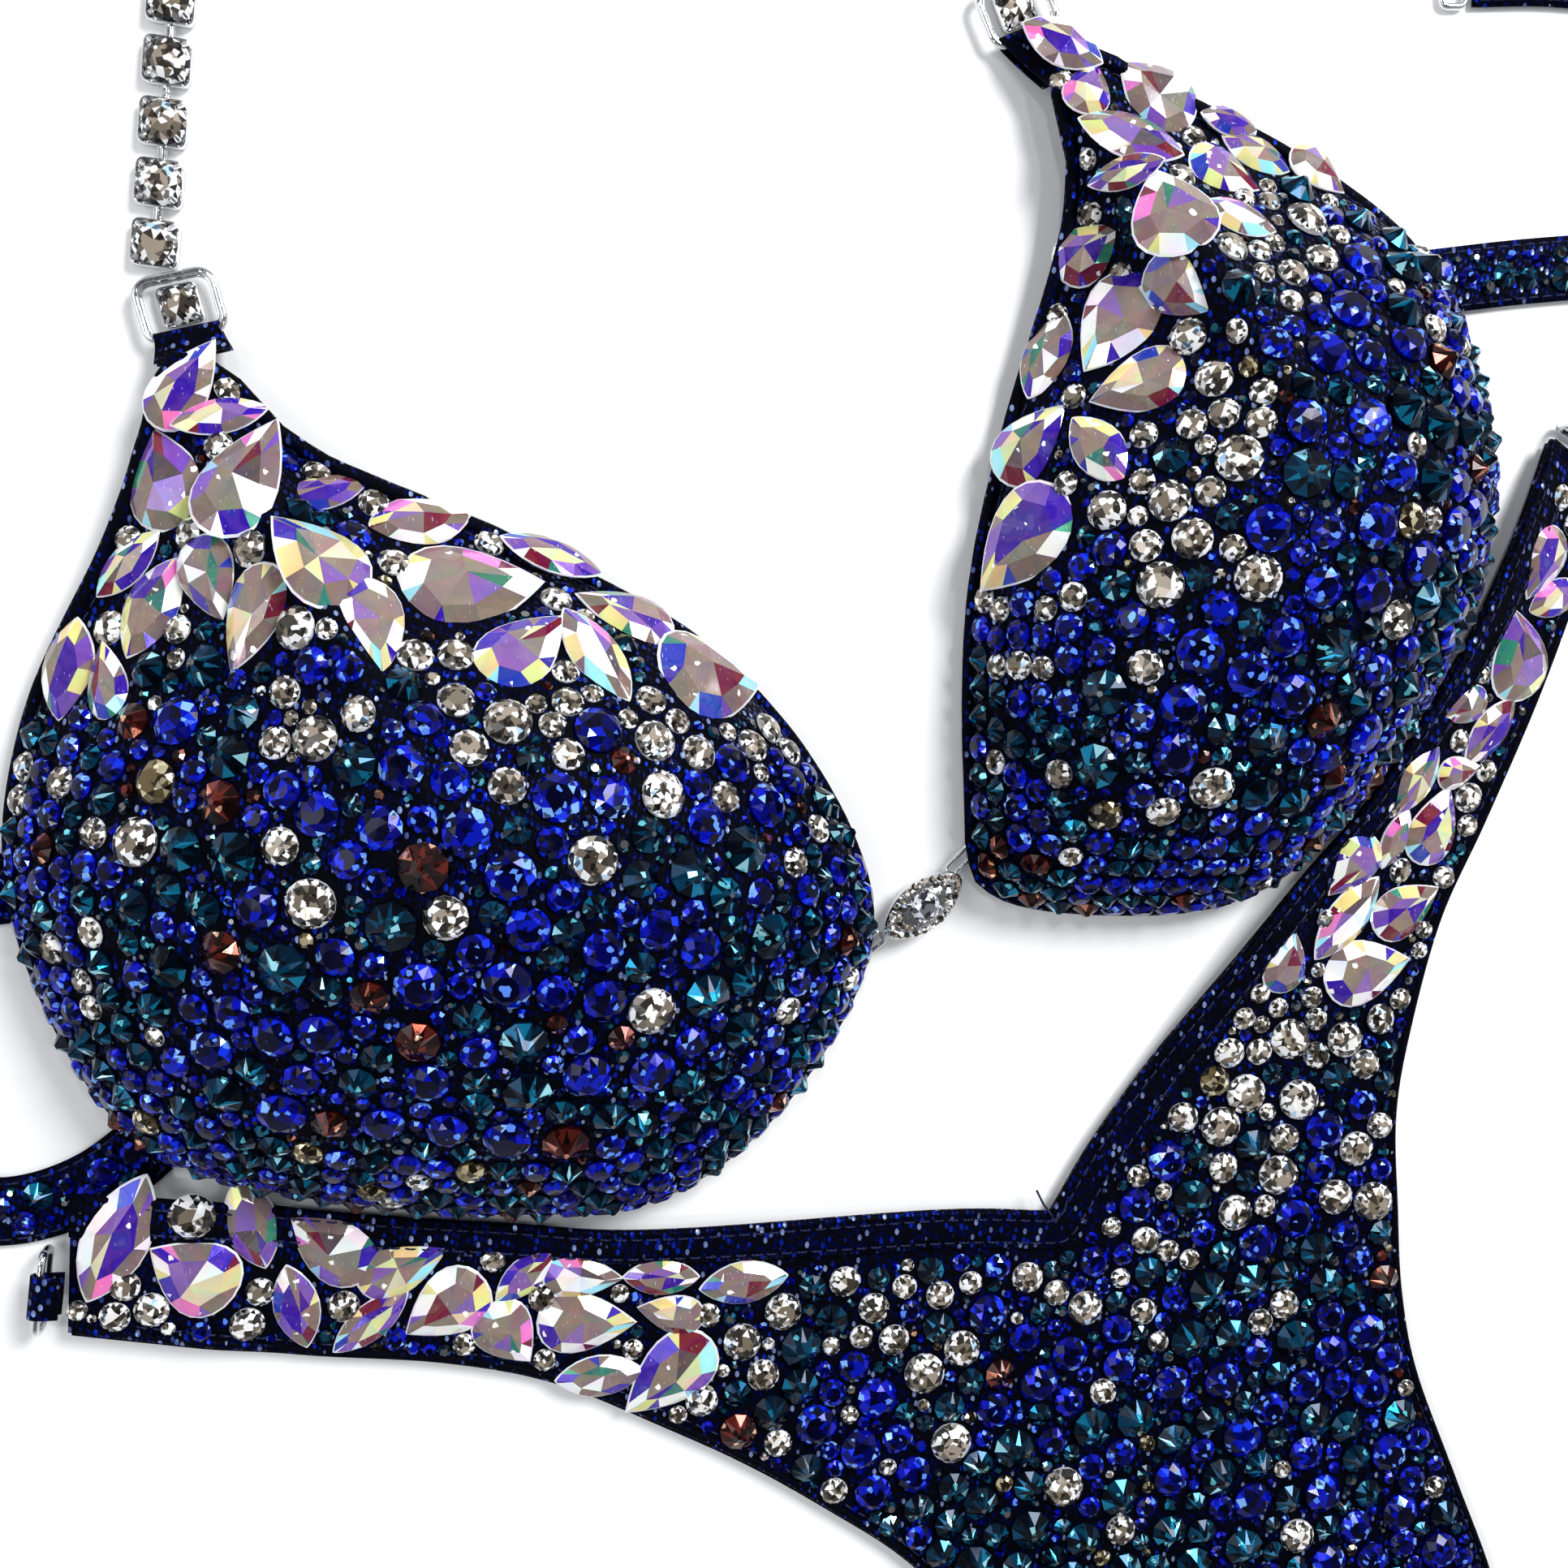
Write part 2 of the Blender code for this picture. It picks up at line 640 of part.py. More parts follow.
def add_chain(side):
    """The halter chain, in groups of settings that hinge on each other."""
    places = chain_places(side)
    for group in range(CHAIN_GROUPS):
        stones = places[group * GROUP_STONES : (group + 1) * GROUP_STONES]
        name = f"{side}_chain_{group + 1}"
        add_prism(name, chain_outline(stones), SETTING_Z, SETTING_TALL, "clear_crystal")


def add_clasp():
    """A trigger clasp at the left chain's end, open, and the eye ring at the right chain's end."""
    x, y, heading = chain_places("left")[-1]
    turn = math.radians(heading)
    ahead = Vector((math.cos(turn), math.sin(turn)))
    aside = Vector((-ahead.y, ahead.x))
    middle = Vector((x, y)) + ahead * CLASP_OUT
    path = []
    for angle in range(180, 451, 30):
        bend = math.radians(angle)
        along, across = CLASP_REACH[0] * math.cos(bend), CLASP_REACH[1] * math.sin(bend)
        path.append(middle + ahead * along + aside * across)
    add_tube("clasp_body", path, CLASP_RADIUS, CLASP_Z)
    path = [middle + ahead * along + aside * across for along, across in LEVER]
    add_tube("clasp_lever", path, LEVER_RADIUS, CLASP_Z)
    x, y, heading = chain_places("right")[-1]
    add_wire_loop("closure_eye", *CLOSURE_EYE, (x - 1.0, y, CLASP_Z), heading)


def add_tube(name, path, radius, high):
    curve = bpy.data.curves.new(name, "CURVE")
    curve.dimensions = "3D"
    curve.bevel_depth = radius * MM
    curve.bevel_resolution = 1
    curve.use_fill_caps = True
    curve.materials.append(MATERIALS["silver"])
    spline = curve.splines.new("POLY")
    spline.points.add(len(path) - 1)
    for point, place in zip(spline.points, path):
        point.co = (*world(*place, high), 1)
    obj = bpy.data.objects.new(name, curve)
    PARTS.objects.link(obj)
    return obj


def add_connector():
    """The jewelled centre connector, its main stone and the wire links to the two cups."""
    turn = math.radians(CONNECTOR_TURN)
    outline = []
    for step in range(24):
        angle = math.tau * step / 24
        x = CONNECTOR_LONG * math.cos(angle)
        y = CONNECTOR_WIDE * math.sin(angle) * (1 - 0.25 * math.cos(angle) ** 2)
        outline.append((CONNECTOR[0] + x * math.cos(turn) - y * math.sin(turn),
                        CONNECTOR[1] + x * math.sin(turn) + y * math.cos(turn)))
    add_prism("connector_plate", outline, CONNECTOR_Z, CONNECTOR_THICK, "silver")
    stone_z = CONNECTOR_Z + CONNECTOR_THICK + 0.4
    add_round("connector_stone", CONNECTOR, CONNECTOR_STONE, stone_z, 1.5, 8, "sapphire_crystal", top=1.5)
    left_link, right_link = (*LINKS["left"], LINK_Z), (*LINKS["right"], LINK_Z)
    add_wire_loop("connector_left_link", 5.0, 3.0, LINK_WIRE, left_link, CONNECTOR_TURN)
    add_wire_loop("connector_right_link", 7.0, 2.6, LINK_WIRE, right_link, CONNECTOR_TURN + 8)


def add_strap_ends():
    """The hook on the left strap's end and the eye on the right strap's end."""
    for side, name in (("left", "left_strap_hook"), ("right", "right_strap_eye")):
        (ax, ay), (bx, by) = STRAPS[side][-2:]
        turn = math.degrees(math.atan2(by - ay, bx - ax))
        ahead = Vector((bx - ax, by - ay)).normalized()
        place = Vector((bx, by)) + ahead * HOOK_OUT
        add_wire_loop(name, *HOOK, (place.x, place.y, HOOK_Z), turn)


def add_pivot(name, place, parent, children):
    """An empty on a joint's axis, whose children are the pieces and pivots that move with it."""
    pivot = bpy.data.objects.new(name, None)
    pivot.empty_display_size = 5 * MM
    pivot.location = place
    PARTS.objects.link(pivot)
    if parent:
        pivot.parent = parent
        pivot.matrix_parent_inverse = Matrix.Translation(-parent.matrix_world.translation)
    bpy.context.view_layer.update()
    for child in children:
        piece = bpy.data.objects[child]
        piece.parent = pivot
        piece.matrix_parent_inverse = Matrix.Translation(-pivot.matrix_world.translation)
    return pivot


def ring_up(side):
    turn = math.radians(RINGS[side][1])
    return Vector((-math.sin(turn), math.cos(turn)))


def add_chain_pivots(side, ring_pivot):
    """The chain's joints: the first on the ring's upper bar, the others between groups of settings."""
    bar = Vector(RINGS[side][0]) + ring_up(side) * (RING_TALL - RING_WIRE)
    pivot = add_pivot(f"{side}_chain_1_pivot", world(*bar, RING_Z), ring_pivot, [f"{side}_chain_1"])
    places = chain_places(side)
    for group in range(1, CHAIN_GROUPS):
        before, after = places[group * GROUP_STONES - 1], places[group * GROUP_STONES]
        place = world((before[0] + after[0]) / 2, (before[1] + after[1]) / 2, SETTING_Z + SETTING_TALL / 2)
        pivot = add_pivot(f"{side}_chain_{group + 1}_pivot", place, pivot, [f"{side}_chain_{group + 1}"])
    before, after = places[-2], places[-1]
    place = world((before[0] + after[0]) / 2, (before[1] + after[1]) / 2, SETTING_Z + SETTING_TALL / 2)
    if side == "left":
        clasp = add_pivot("clasp_pivot", place, pivot, ["clasp_body"])
        lever = bpy.data.objects["clasp_lever"].data.splines[0].points[0].co.to_3d()
        add_pivot("clasp_lever_pivot", lever, clasp, ["clasp_lever"])
    else:
        add_pivot("closure_eye_pivot", place, pivot, ["closure_eye"])


def add_pivots():
    """Every joint's empty. The whole top slides off the briefs along +Y."""
    top = add_pivot("top_slide", world(*CONNECTOR, CONNECTOR_Z), None,
                    ["connector_plate", "connector_stone", "connector_left_link", "connector_right_link"])
    for side in ("left", "right"):
        pieces = [f"{side}_cup_{layer[0]}" for layer in CUP_LAYERS]
        pieces += [f"{side}_cup_statement_crystals", f"{side}_cup_edge_elastic", f"{side}_back_strap",
                   f"{side}_strap_elastic", f"{side}_neck_tab",
                   "left_strap_hook" if side == "left" else "right_strap_eye"]
        cup = add_pivot(f"{side}_cup_pivot", world(*LINKS[side], LINK_Z), top, pieces)
        ring = add_pivot(f"{side}_neck_ring_pivot", world(*RINGS[side][0], RING_Z), cup,
                         [f"{side}_neck_ring", f"{side}_ring_setting"])
        add_chain_pivots(side, ring)
        middle, out, _ = arm_end(side)
        bar = world(*(middle + out * HIP_RING_OUT), HIP_RING_Z + (HIP_RING_TALL - RING_WIRE) / 2)
        add_pivot(f"{side}_hip_ring_pivot", bar, None, [f"{side}_hip_ring"])


def build():
    for side in ("left", "right"):
        for name, inset, thickness, material in CUP_LAYERS:
            add_cup_layer(side, name, inset, thickness, material)
        add_statement_crystals(side)
        add_edge_elastic(side)
        add_strap(side)
        add_tab(side)
        add_neck_ring(side)
        add_chain(side)
        add_hip_ring(side)
    add_briefs()
    crotch_seam()
    add_strap_ends()
    add_clasp()
    add_connector()
    add_pivots()


for startup in list(bpy.data.objects):
    bpy.data.objects.remove(startup)
PARTS = bpy.data.collections.new("competition_suit")
bpy.context.scene.collection.children.link(PARTS)
MATERIALS = make_materials()
build()
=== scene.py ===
"""The looks of a crystal-covered two-piece competition suit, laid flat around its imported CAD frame.

Lengths are millimetres on the table, with +X to the right and +Y up the table. CENTRE moves them so
that the object's origin is the middle of its box, and MM turns them into metres.
"""

import math
import random

import bmesh
import bpy
import numpy as np
from mathutils import Matrix, Vector


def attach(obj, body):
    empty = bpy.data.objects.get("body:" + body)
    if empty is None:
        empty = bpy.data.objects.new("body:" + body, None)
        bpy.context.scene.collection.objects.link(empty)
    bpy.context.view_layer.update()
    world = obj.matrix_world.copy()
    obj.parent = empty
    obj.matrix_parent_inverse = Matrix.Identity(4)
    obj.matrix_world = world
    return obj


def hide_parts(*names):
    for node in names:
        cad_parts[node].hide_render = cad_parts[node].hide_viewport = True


MM = 0.001
CENTRE = np.array([10.6, -16.8])
EYE = Vector((-0.0554, 0.0456, 0.2565))
TARGET = Vector((-0.0106, 0.0168, 0.0))
FIELD_OF_VIEW = math.radians(53.0)
UP = np.array([0.0, 0.0, 1.0])

# The cups: middle, direction of the halter tab in degrees, and rim, as in the CAD part.
TAB_RISE = 5.0
RIM_Z = 3.8
CUP_HEIGHT = 34.0
CUPS = {
    "left": {
        "centre": (-50.0, -8.0),
        "apex": 118.0,
        "rim": (
            (-91, 67.5), (-95.5, 65), (-98, 56), (-104, 40), (-117, 14), (-121.5, -12), (-114.5, -38),
            (-102, -56), (-80, -65), (-45, -70.5), (-19, -68.5), (2, -52), (15, -26), (8, -1), (-12, 23),
            (-40, 39), (-67, 50.5), (-75, 54.5), (-81, 60.5), (-86.5, 66.5),
        ),
    },
    "right": {
        "centre": (78.0, 45.0),
        "apex": 113.0,
        "rim": (
            (40, 115.5), (43.5, 106), (44.5, 97), (43, 86), (35, 57), (30, 30), (30, -1), (34, -19),
            (60, -24), (82.5, -21), (101, -5), (113, 13), (121, 32), (123, 52), (118, 72), (109, 90),
            (88, 103), (58, 114.5), (48.5, 118.5),
        ),
    },
}
# How far below the dome each layer lies.
FABRIC_INSET = 1.9
FOAM_INSET = 3.9
FOAM_THICK = 2.2
LINING_INSET = 7.2
# The dome is full in front and flatter near the tab; TAB_SPREAD is how wide that is, in degrees.
DOME_POWER = 0.62
TAB_POWER = 0.9
TAB_SPREAD = 42.0
# The turns and shares for which the cups' tables are worked out.
TABLE_STEP = 3.0
TABLE_TURNS = np.arange(0, 360, TABLE_STEP)
TABLE_SHARES = np.linspace(0, 1, 81)

# The briefs, as they would lie upright: the waist notch, their turn on the table, and each half of the
# waist and leg edges.
NOTCH = (47.0, -76.0)
BRIEFS_TURN = math.radians(27.3)
WAIST = {
    "left": ((0, 0), (18, 11), (61, 33), (81, 46.5), (103, 62), (122, 76.5), (140, 89)),
    "right": ((0, 0), (17, 10), (60, 30), (83, 39), (107, 53), (126, 67), (144, 82)),
}
LEG = {
    "left": (
        (33, -150), (38, -128), (43, -106), (45, -83), (47, -59), (51, -43), (58, -28), (66, -13),
        (75, 1), (87, 18), (101, 31), (119, 44), (135, 57), (150, 69),
    ),
    "right": (
        (33, -150), (38, -132), (43, -112), (45, -89), (47, -65), (51, -49), (57, -34), (64, -18),
        (73, -5), (87, 11), (102, 23), (120, 38), (136, 53), (151, 68),
    ),
}
# The crotch: its share of the cross lines, half width and place. WAIST_PACE crowds lines to the notch.
CROTCH_SHARE = 0.12
CROTCH_HALF = 33.0
CROTCH_Y = -152.0
WAIST_PACE = 2.85
# The left arm lies over its strap, and the right arm up against the right cup's flank.
STRAP_LIFT = 1.7
STRAP_LIFT_FROM = -82.0
STRAP_LIFT_TO = -97.0
FLANK_LIFT = 4.5
FLANK_LIFT_FROM = 1.45
CASING_WIDTH = 6.6

# The back straps, from the cup outward.
STRAPS = {
    "left": ((-112, -13), (-133, -15), (-144, -20), (-150, -34), (-148, -50), (-138, -61),
             (-125, -65), (-112, -62), (-101, -54), (-93, -44)),
    "right": ((107, 84), (128, 87), (146, 89), (162, 91), (174, 100), (177, 116), (168, 130),
              (152, 136), (134, 137), (118, 136)),
}
STRAP_WIDTH = 11.0

# Neck rings: the lower bar's middle and turn. Hip rings, which stand on edge: place and turn.
RINGS = {"left": ((-91.2, 69.6), 14.0), "right": ((39.5, 120.6), 25.0)}
RING_WIDE = 13.0
RING_TALL = 10.4
RING_WIRE = 1.3
RING_Z = 2.6
HIP_RINGS = {"left": ((-118.76, -77.39), 82.6), "right": ((144.14, 58.29), -25.1)}
HIP_RING_WIDE = 14.0
HIP_RING_TALL = 6.0
HIP_RING_Z = 3.3
# Halter chains: first stone, its heading, how many stones run straight, and the turn at each later one.
STONE_PITCH = 8.8
CHAIN_GROUPS = 5
GROUP_STONES = 3
CHAINS = {"left": ((-95.6, 83.2), 84.0, 5, 12.0), "right": ((33.2, 134.4), 104.0, 0, -10.0)}
# The connector, and the links that join it to the cups.
CONNECTOR = (23.0, -20.5)
CONNECTOR_TURN = 38.0
CONNECTOR_Z = 3.4
LINKS = {"left": (14.6, -27.0), "right": (30.0, -13.2)}
LINK_Z = 2.4

# Large fancy stones: shape, middle on the table, length, width and the way that the tip points.
FANCY = {
    "left_cup": (
        ("pear", -91, 62, 16.0, 8.8, 56), ("navette", -86, 57, 14.4, 5.8, 12),
        ("pear", -94, 48, 15.8, 13.0, 103), ("pear", -82, 48, 20.5, 12.0, 62),
        ("navette", -72, 46, 15.5, 5.6, 19), ("pear", -72, 36, 16.8, 14.8, 135),
        ("navette", -58, 42, 16.4, 9.0, 8), ("navette", -38, 37, 17.0, 7.2, -20),
        ("pear", -50, 32, 22.4, 16.0, 5), ("pear", -42.5, 23, 17.0, 11.2, 40),
        ("navette", -32, 22, 18.4, 8.2, -57), ("pear", -27, 28, 16.8, 10.8, 158),
        ("pear", -14, 18, 19.5, 17.0, -9), ("pear", -64, 26, 17.2, 10.2, -79),
        ("pear", -80.5, 27.5, 17.0, 9.4, -112), ("pear", -87, 33, 14.4, 9.4, -70),
        ("navette", -100, 35.5, 13.9, 6.0, 45), ("navette", -96, 29, 16.6, 9.2, 63),
        ("navette", -109, 20, 16.0, 9.5, 81), ("pear", -102.5, 18.5, 12.6, 7.0, 100),
    ),
    "right_cup": (
        ("navette", 43.5, 118, 14.5, 8.0, -25), ("pear", 47.5, 111, 9.5, 8.0, 70),
        ("navette", 53, 102.5, 18.0, 9.0, -18), ("pear", 59, 111, 15.5, 13.0, 140),
        ("navette", 72, 107.5, 10.5, 5.4, -12), ("navette", 76.5, 102.5, 13.0, 7.4, -24),
        ("pear", 88, 100.5, 11.5, 9.5, -40), ("navette", 51.5, 96.5, 13.0, 5.2, 12),
        ("pear", 56.5, 89.5, 15.5, 13.8, 105), ("pear", 69, 98, 13.0, 10.0, -25),
        ("navette", 68.5, 89.5, 13.5, 7.0, -17), ("pear", 48.5, 86, 12.8, 9.8, 35),
        ("pear", 58.5, 78, 14.0, 10.0, -50), ("pear", 51, 73.5, 17.8, 14.2, -124),
        ("pear", 52.5, 63.5, 16.2, 10.8, -160), ("navette", 42, 69.5, 14.8, 8.2, 67),
        ("pear", 39, 55.5, 15.6, 11.6, 52), ("navette", 46.5, 53.5, 14.6, 8.0, -60),
        ("pear", 36.5, 39.5, 20.8, 15.2, -125),
    ),
    "left_arm": (
        ("navette", -107, -69, 22.6, 10.4, 64), ("pear", -96, -75.5, 15.4, 12.8, 143),
        ("navette", -87, -68.5, 16.0, 8.4, -76), ("pear", -75, -73, 17.0, 11.2, 140),
        ("navette", -80.5, -83, 14.6, 7.4, -79), ("pear", -63.5, -77.5, 16.0, 9.0, 22),
        ("pear", -57, -85, 15.6, 11.6, 212), ("navette", -69, -86.5, 15.6, 6.2, 38),
        ("pear", -47, -90.5, 12.4, 10.2, -55), ("navette", -44, -80.5, 12.9, 6.0, 40),
        ("pear", -34.5, -81.5, 13.6, 7.8, -6), ("navette", -21.5, -82.5, 13.2, 6.4, -4),
        ("navette", -7.5, -84.5, 15.5, 7.6, 5), ("pear", -34, -89.5, 16.8, 10.8, -4),
        ("pear", -20, -89, 11.8, 7.0, 165), ("navette", -32, -99, 15.2, 7.4, 2),
        ("pear", -20.5, -100, 19.0, 12.0, -141),
    ),
    "right_arm": (
        ("pear", 134, 37, 14.2, 10.0, -115), ("navette", 138, 31, 12.5, 6.6, 22),
        ("pear", 130.5, 21, 17.0, 13.4, 104), ("pear", 119, 12, 10.8, 6.6, 200),
        ("navette", 126, 7.5, 15.0, 7.5, 50), ("navette", 110.5, -0.5, 14.4, 7.4, 57),
        ("pear", 120, 0.5, 9.8, 6.2, 10), ("pear", 116, -9, 15.0, 11.0, 72),
        ("navette", 107.5, -11, 11.6, 5.8, 68), ("pear", 99, -15.5, 13.2, 9.6, -130),
        ("navette", 99.5, -25, 18.6, 9.0, 52), ("pear", 112, -24, 14.6, 9.8, 30),
        ("pear", 88, -32, 12.4, 8.6, 85), ("pear", 105, -35, 17.0, 12.2, 12),
    ),
}

# Clear stones set between the large ones: middle on the table, and radius.
CLEAR_BETWEEN = {
    "left_cup": (
        (-94.5, 65, 2.1), (-85, 61.5, 2.2), (-86, 52.6, 2.2), (-72.7, 49, 2.3), (-64.5, 44.8, 2.4),
        (-100.4, 39.5, 2.1), (-90.2, 39.7, 2.7), (-81, 37.5, 2.8), (-61.4, 35.7, 2.5), (-47.4, 39.6, 2.4),
        (-74.2, 26.3, 3.2), (-102.8, 26.1, 2.7), (-92, 26, 2.2), (-37.5, 30.3, 2.5), (-58, 22.3, 2.7),
        (-52.3, 22.3, 2.7), (-75.8, 17.3, 2.4), (-65.4, 14.5, 2.6), (-52.3, 16, 2.7), (-71.5, 11, 3.3),
        (-45.1, 12.9, 3.5), (-36.5, 15.5, 2.4),
    ),
    "right_cup": (
        (43.2, 112.8, 1.9), (65.2, 104.2, 2.3), (47.6, 100.2, 1.7), (48.4, 91.8, 2.1), (51.9, 81.8, 1.9),
        (42.7, 77, 1.9), (60.5, 96.3, 2.3), (44.5, 62.5, 2.1), (42, 48.5, 2.1), (65.5, 84, 2.7),
        (59, 70.5, 2.9), (64, 70.5, 1.9), (61.5, 63.7, 2.9), (67.3, 61.2, 2.1), (52, 55.5, 2.2),
        (58, 56.8, 2.4), (46.5, 44, 3.1), (75.3, 80.3, 2.6), (70, 80, 1.9), (73.6, 75.5, 2.0),
        (74, 85.5, 1.8), (71.5, 93.8, 1.8), (76, 93.5, 1.9), (51, 38.5, 2.5), (57, 39.5, 3.1),
        (59.5, 46.5, 2.3),
    ),
    "left_arm": (
        (-95.7, -66.3, 3.7), (-106.2, -77, 2.4), (-86.1, -80.1, 2.3), (-73.2, -83.7, 2.6),
        (-49.2, -77.6, 2.1), (-41.2, -84.7, 2.4), (-54.2, -91.8, 1.9), (-41.1, -95.6, 1.9),
        (-26.4, -95, 1.8), (-13.6, -90, 2.1), (-14.8, -105, 2.8),
    ),
    "right_arm": (
        (137.5, 48.5, 2.5), (123, 17.5, 1.6), (119.3, 6, 2.1), (106.2, -5.4, 1.8), (110, -17, 2.3),
        (95.4, -25, 1.9), (95.2, -34.5, 1.4), (94.6, -39.5, 2.0), (84, -38, 1.9), (81.5, -42.6, 2.1),
        (88, -41, 1.9),
    ),
    "notch": (
        (15.2, -91, 2.7), (20.6, -87.6, 2.2), (27, -89.6, 2.5), (32.5, -87.8, 2.1), (42.8, -87.6, 2.8),
        (48.2, -90.8, 2.3), (53.6, -94, 3.1), (58.2, -79.5, 1.8), (64.5, -82.4, 2.5), (60, -89, 1.8),
        (73, -86.5, 1.9), (64.5, -95.5, 2.4), (67.5, -101.5, 1.9),
    ),
}

# Linear colours of the stones' facets, tables and rims. Each choice is (share, red, green, blue).
# The near-white choices of smoke, clear, clear_rim, clear_table, aurora and aurora_table are painted
# highlights,
# and shade.
# and the near-black ones of the clear stones are painted dark reflections. The lightest sapphire, teal and
# copper choices are painted glints, and the sapphire's lighter rim round its dark navy table is painted light
FACETS = {
    "smoke": ((0.4, 0.02, 0.02, 0.03), (0.3, 0.16, 0.16, 0.18), (0.3, 0.8, 0.82, 0.9)),
    "sapphire": ((0.36, 0.0, 0.001, 0.03), (0.30, 0.0, 0.001, 0.15), (0.24, 0.001, 0.005, 0.46),
                 (0.06, 0.006, 0.04, 0.85), (0.04, 0.25, 0.50, 1.0)),
    "sapphire_rim": ((0.32, 0.0, 0.0008, 0.03), (0.38, 0.0006, 0.003, 0.29), (0.23, 0.003, 0.018, 0.74),
                     (0.07, 0.30, 0.55, 1.0)),
    "sapphire_table": ((0.58, 0.0, 0.0003, 0.016), (0.30, 0.0, 0.0006, 0.09), (0.12, 0.002, 0.010, 0.42)),
    "teal": ((0.42, 0.0, 0.003, 0.010), (0.28, 0.0, 0.018, 0.044), (0.20, 0.001, 0.055, 0.12),
             (0.07, 0.006, 0.20, 0.36), (0.03, 0.40, 0.85, 0.95)),
    "teal_table": ((0.5, 0.16, 0.16, 0.16), (0.5, 0.008, 0.08, 0.13)),
    "copper": ((0.46, 0.012, 0.002, 0.002), (0.33, 0.05, 0.005, 0.004), (0.16, 0.16, 0.018, 0.01),
               (0.05, 0.60, 0.22, 0.14)),
    "gold": ((0.45, 0.02, 0.014, 0.006), (0.33, 0.16, 0.12, 0.05), (0.22, 0.62, 0.54, 0.34)),
    "clear": ((0.40, 0.03, 0.025, 0.02), (0.24, 0.16, 0.13, 0.10), (0.20, 0.92, 0.92, 0.92),
              (0.13, 0.42, 0.36, 0.30), (0.03, 0.45, 0.68, 0.95)),
    "clear_rim": ((0.46, 0.02, 0.02, 0.02), (0.36, 0.95, 0.95, 0.95), (0.18, 0.30, 0.26, 0.22)),
    "clear_table": ((0.40, 0.20, 0.165, 0.12), (0.24, 0.36, 0.30, 0.24), (0.16, 0.90, 0.88, 0.85),
                    (0.20, 0.05, 0.04, 0.03)),
    "aurora": ((0.24, 0.21, 0.155, 0.12), (0.10, 0.17, 0.07, 0.42), (0.14, 0.03, 0.005, 0.36),
               (0.18, 1.0, 1.0, 0.98), (0.11, 0.80, 0.72, 0.28), (0.05, 0.36, 0.75, 0.88),
               (0.08, 0.15, 0.006, 0.012), (0.04, 0.010, 0.04, 0.42), (0.04, 0.015, 0.22, 0.12),
               (0.02, 0.80, 0.20, 0.55)),
    "aurora_table": ((0.42, 0.25, 0.195, 0.16), (0.13, 0.22, 0.12, 0.40), (0.11, 0.04, 0.008, 0.30),
                     (0.10, 0.74, 0.68, 0.40), (0.07, 0.09, 0.075, 0.07), (0.06, 0.97, 0.97, 0.95),
                     (0.06, 0.16, 0.012, 0.02), (0.05, 0.03, 0.19, 0.13)),
}
FOIL_EDGE = (0.80, 0.81, 0.84)


def smooth_line(points, count, closed=False):
    """Evenly spaced points along a Catmull-Rom curve through the given ones."""
    rows = np.array(points, float)
    if closed:
        rows = np.vstack([rows[-1], rows, rows[:2]])
    else:
        rows = np.vstack([2 * rows[0] - rows[1], rows, 2 * rows[-1] - rows[-2]])
    steps = np.linspace(0, 1, 24, endpoint=False)[:, None]
    spans = []
    for a, b, c, d in zip(rows, rows[1:], rows[2:], rows[3:]):
        bend = steps * (c - a + steps * (2 * a - 5 * b + 4 * c - d + steps * (3 * b - a - 3 * c + d)))
        spans.append(b + bend / 2)
    line = np.vstack(spans + [rows[-2][None]])
    along = np.concatenate([[0], np.cumsum(np.linalg.norm(np.diff(line, axis=0), axis=1))])
    wanted = np.linspace(0, along[-1], count)
    return np.stack([np.interp(wanted, along, line[:, axis]) for axis in range(line.shape[1])], axis=1)


def unit(rows):
    return rows / np.maximum(np.linalg.norm(rows, axis=-1, keepdims=True), 1e-9)


def way(turn):
    """The way that a turn in radians points on the table."""
    return np.array([math.cos(turn), math.sin(turn)])


def way_left(turn):
    """The way a quarter turn to the left of that."""
    return np.array([-math.sin(turn), math.cos(turn)])


def reach_table(cup, inset):
    """Distance from the cup's middle, at every turn of the tables, to a line that far inside the rim."""
    key = f"reach {inset}"
    if key not in cup:
        line = smooth_line(cup["rim"], 400, closed=True) - np.array(cup["centre"])
        around = np.degrees(np.arctan2(line[:, 1], line[:, 0])) % 360
        order = np.argsort(around)
        rim = np.interp(TABLE_TURNS, around[order], np.hypot(line[:, 0], line[:, 1])[order], period=360)
        reach = rim.copy()
        for index, turn in enumerate(np.radians(TABLE_TURNS)):
            tries = rim[index] - inset * np.linspace(1, 5, 120)
            spots = tries[:, None] * way(turn)
            apart = np.linalg.norm(spots[:, None] - line[None], axis=2).min(axis=1)
            reach[index] = tries[np.argmax(apart >= inset * 0.98)]
        cup[key] = reach
    return cup[key]


def rim_reach(cup, angle, inset=0.0):
    return np.interp(np.asarray(angle, float) % 360, TABLE_TURNS, reach_table(cup, inset), period=360)


def tab_share(cup, angle):
    """1 towards the halter tab, falling to 0 on the flanks."""
    away = np.abs((np.asarray(angle, float) - cup["apex"] + 180) % 360 - 180)
    return np.exp(-((away / TAB_SPREAD) ** 2))


def cup_point(cup, share, angle, inset):
    """Points of the dome: full in front, low and gentle towards the halter tab."""
    share = np.asarray(share, float)
    tab = tab_share(cup, angle)
    reach = rim_reach(cup, angle, inset) * share
    dome = np.maximum(0.0, 1 - share**2) ** (DOME_POWER + TAB_POWER * tab)
    sunk = inset * (1 - (1 - tab) * share**6)
    high = RIM_Z + TAB_RISE * tab * share + CUP_HEIGHT * dome - sunk
    turn = np.radians(angle)
    x, y = cup["centre"]
    return np.stack([x + reach * np.cos(turn), y + reach * np.sin(turn), high], axis=-1)


def cup_normal(cup, share, angle, inset):
    """The way out of the dome at a point."""
    near = np.clip(np.asarray(share, float), 0.03, 0.985)
    outward = cup_point(cup, near + 0.012, angle, inset) - cup_point(cup, near - 0.012, angle, inset)
    around = cup_point(cup, near, angle + 1.5, inset) - cup_point(cup, near, angle - 1.5, inset)
    return unit(np.cross(outward, around))


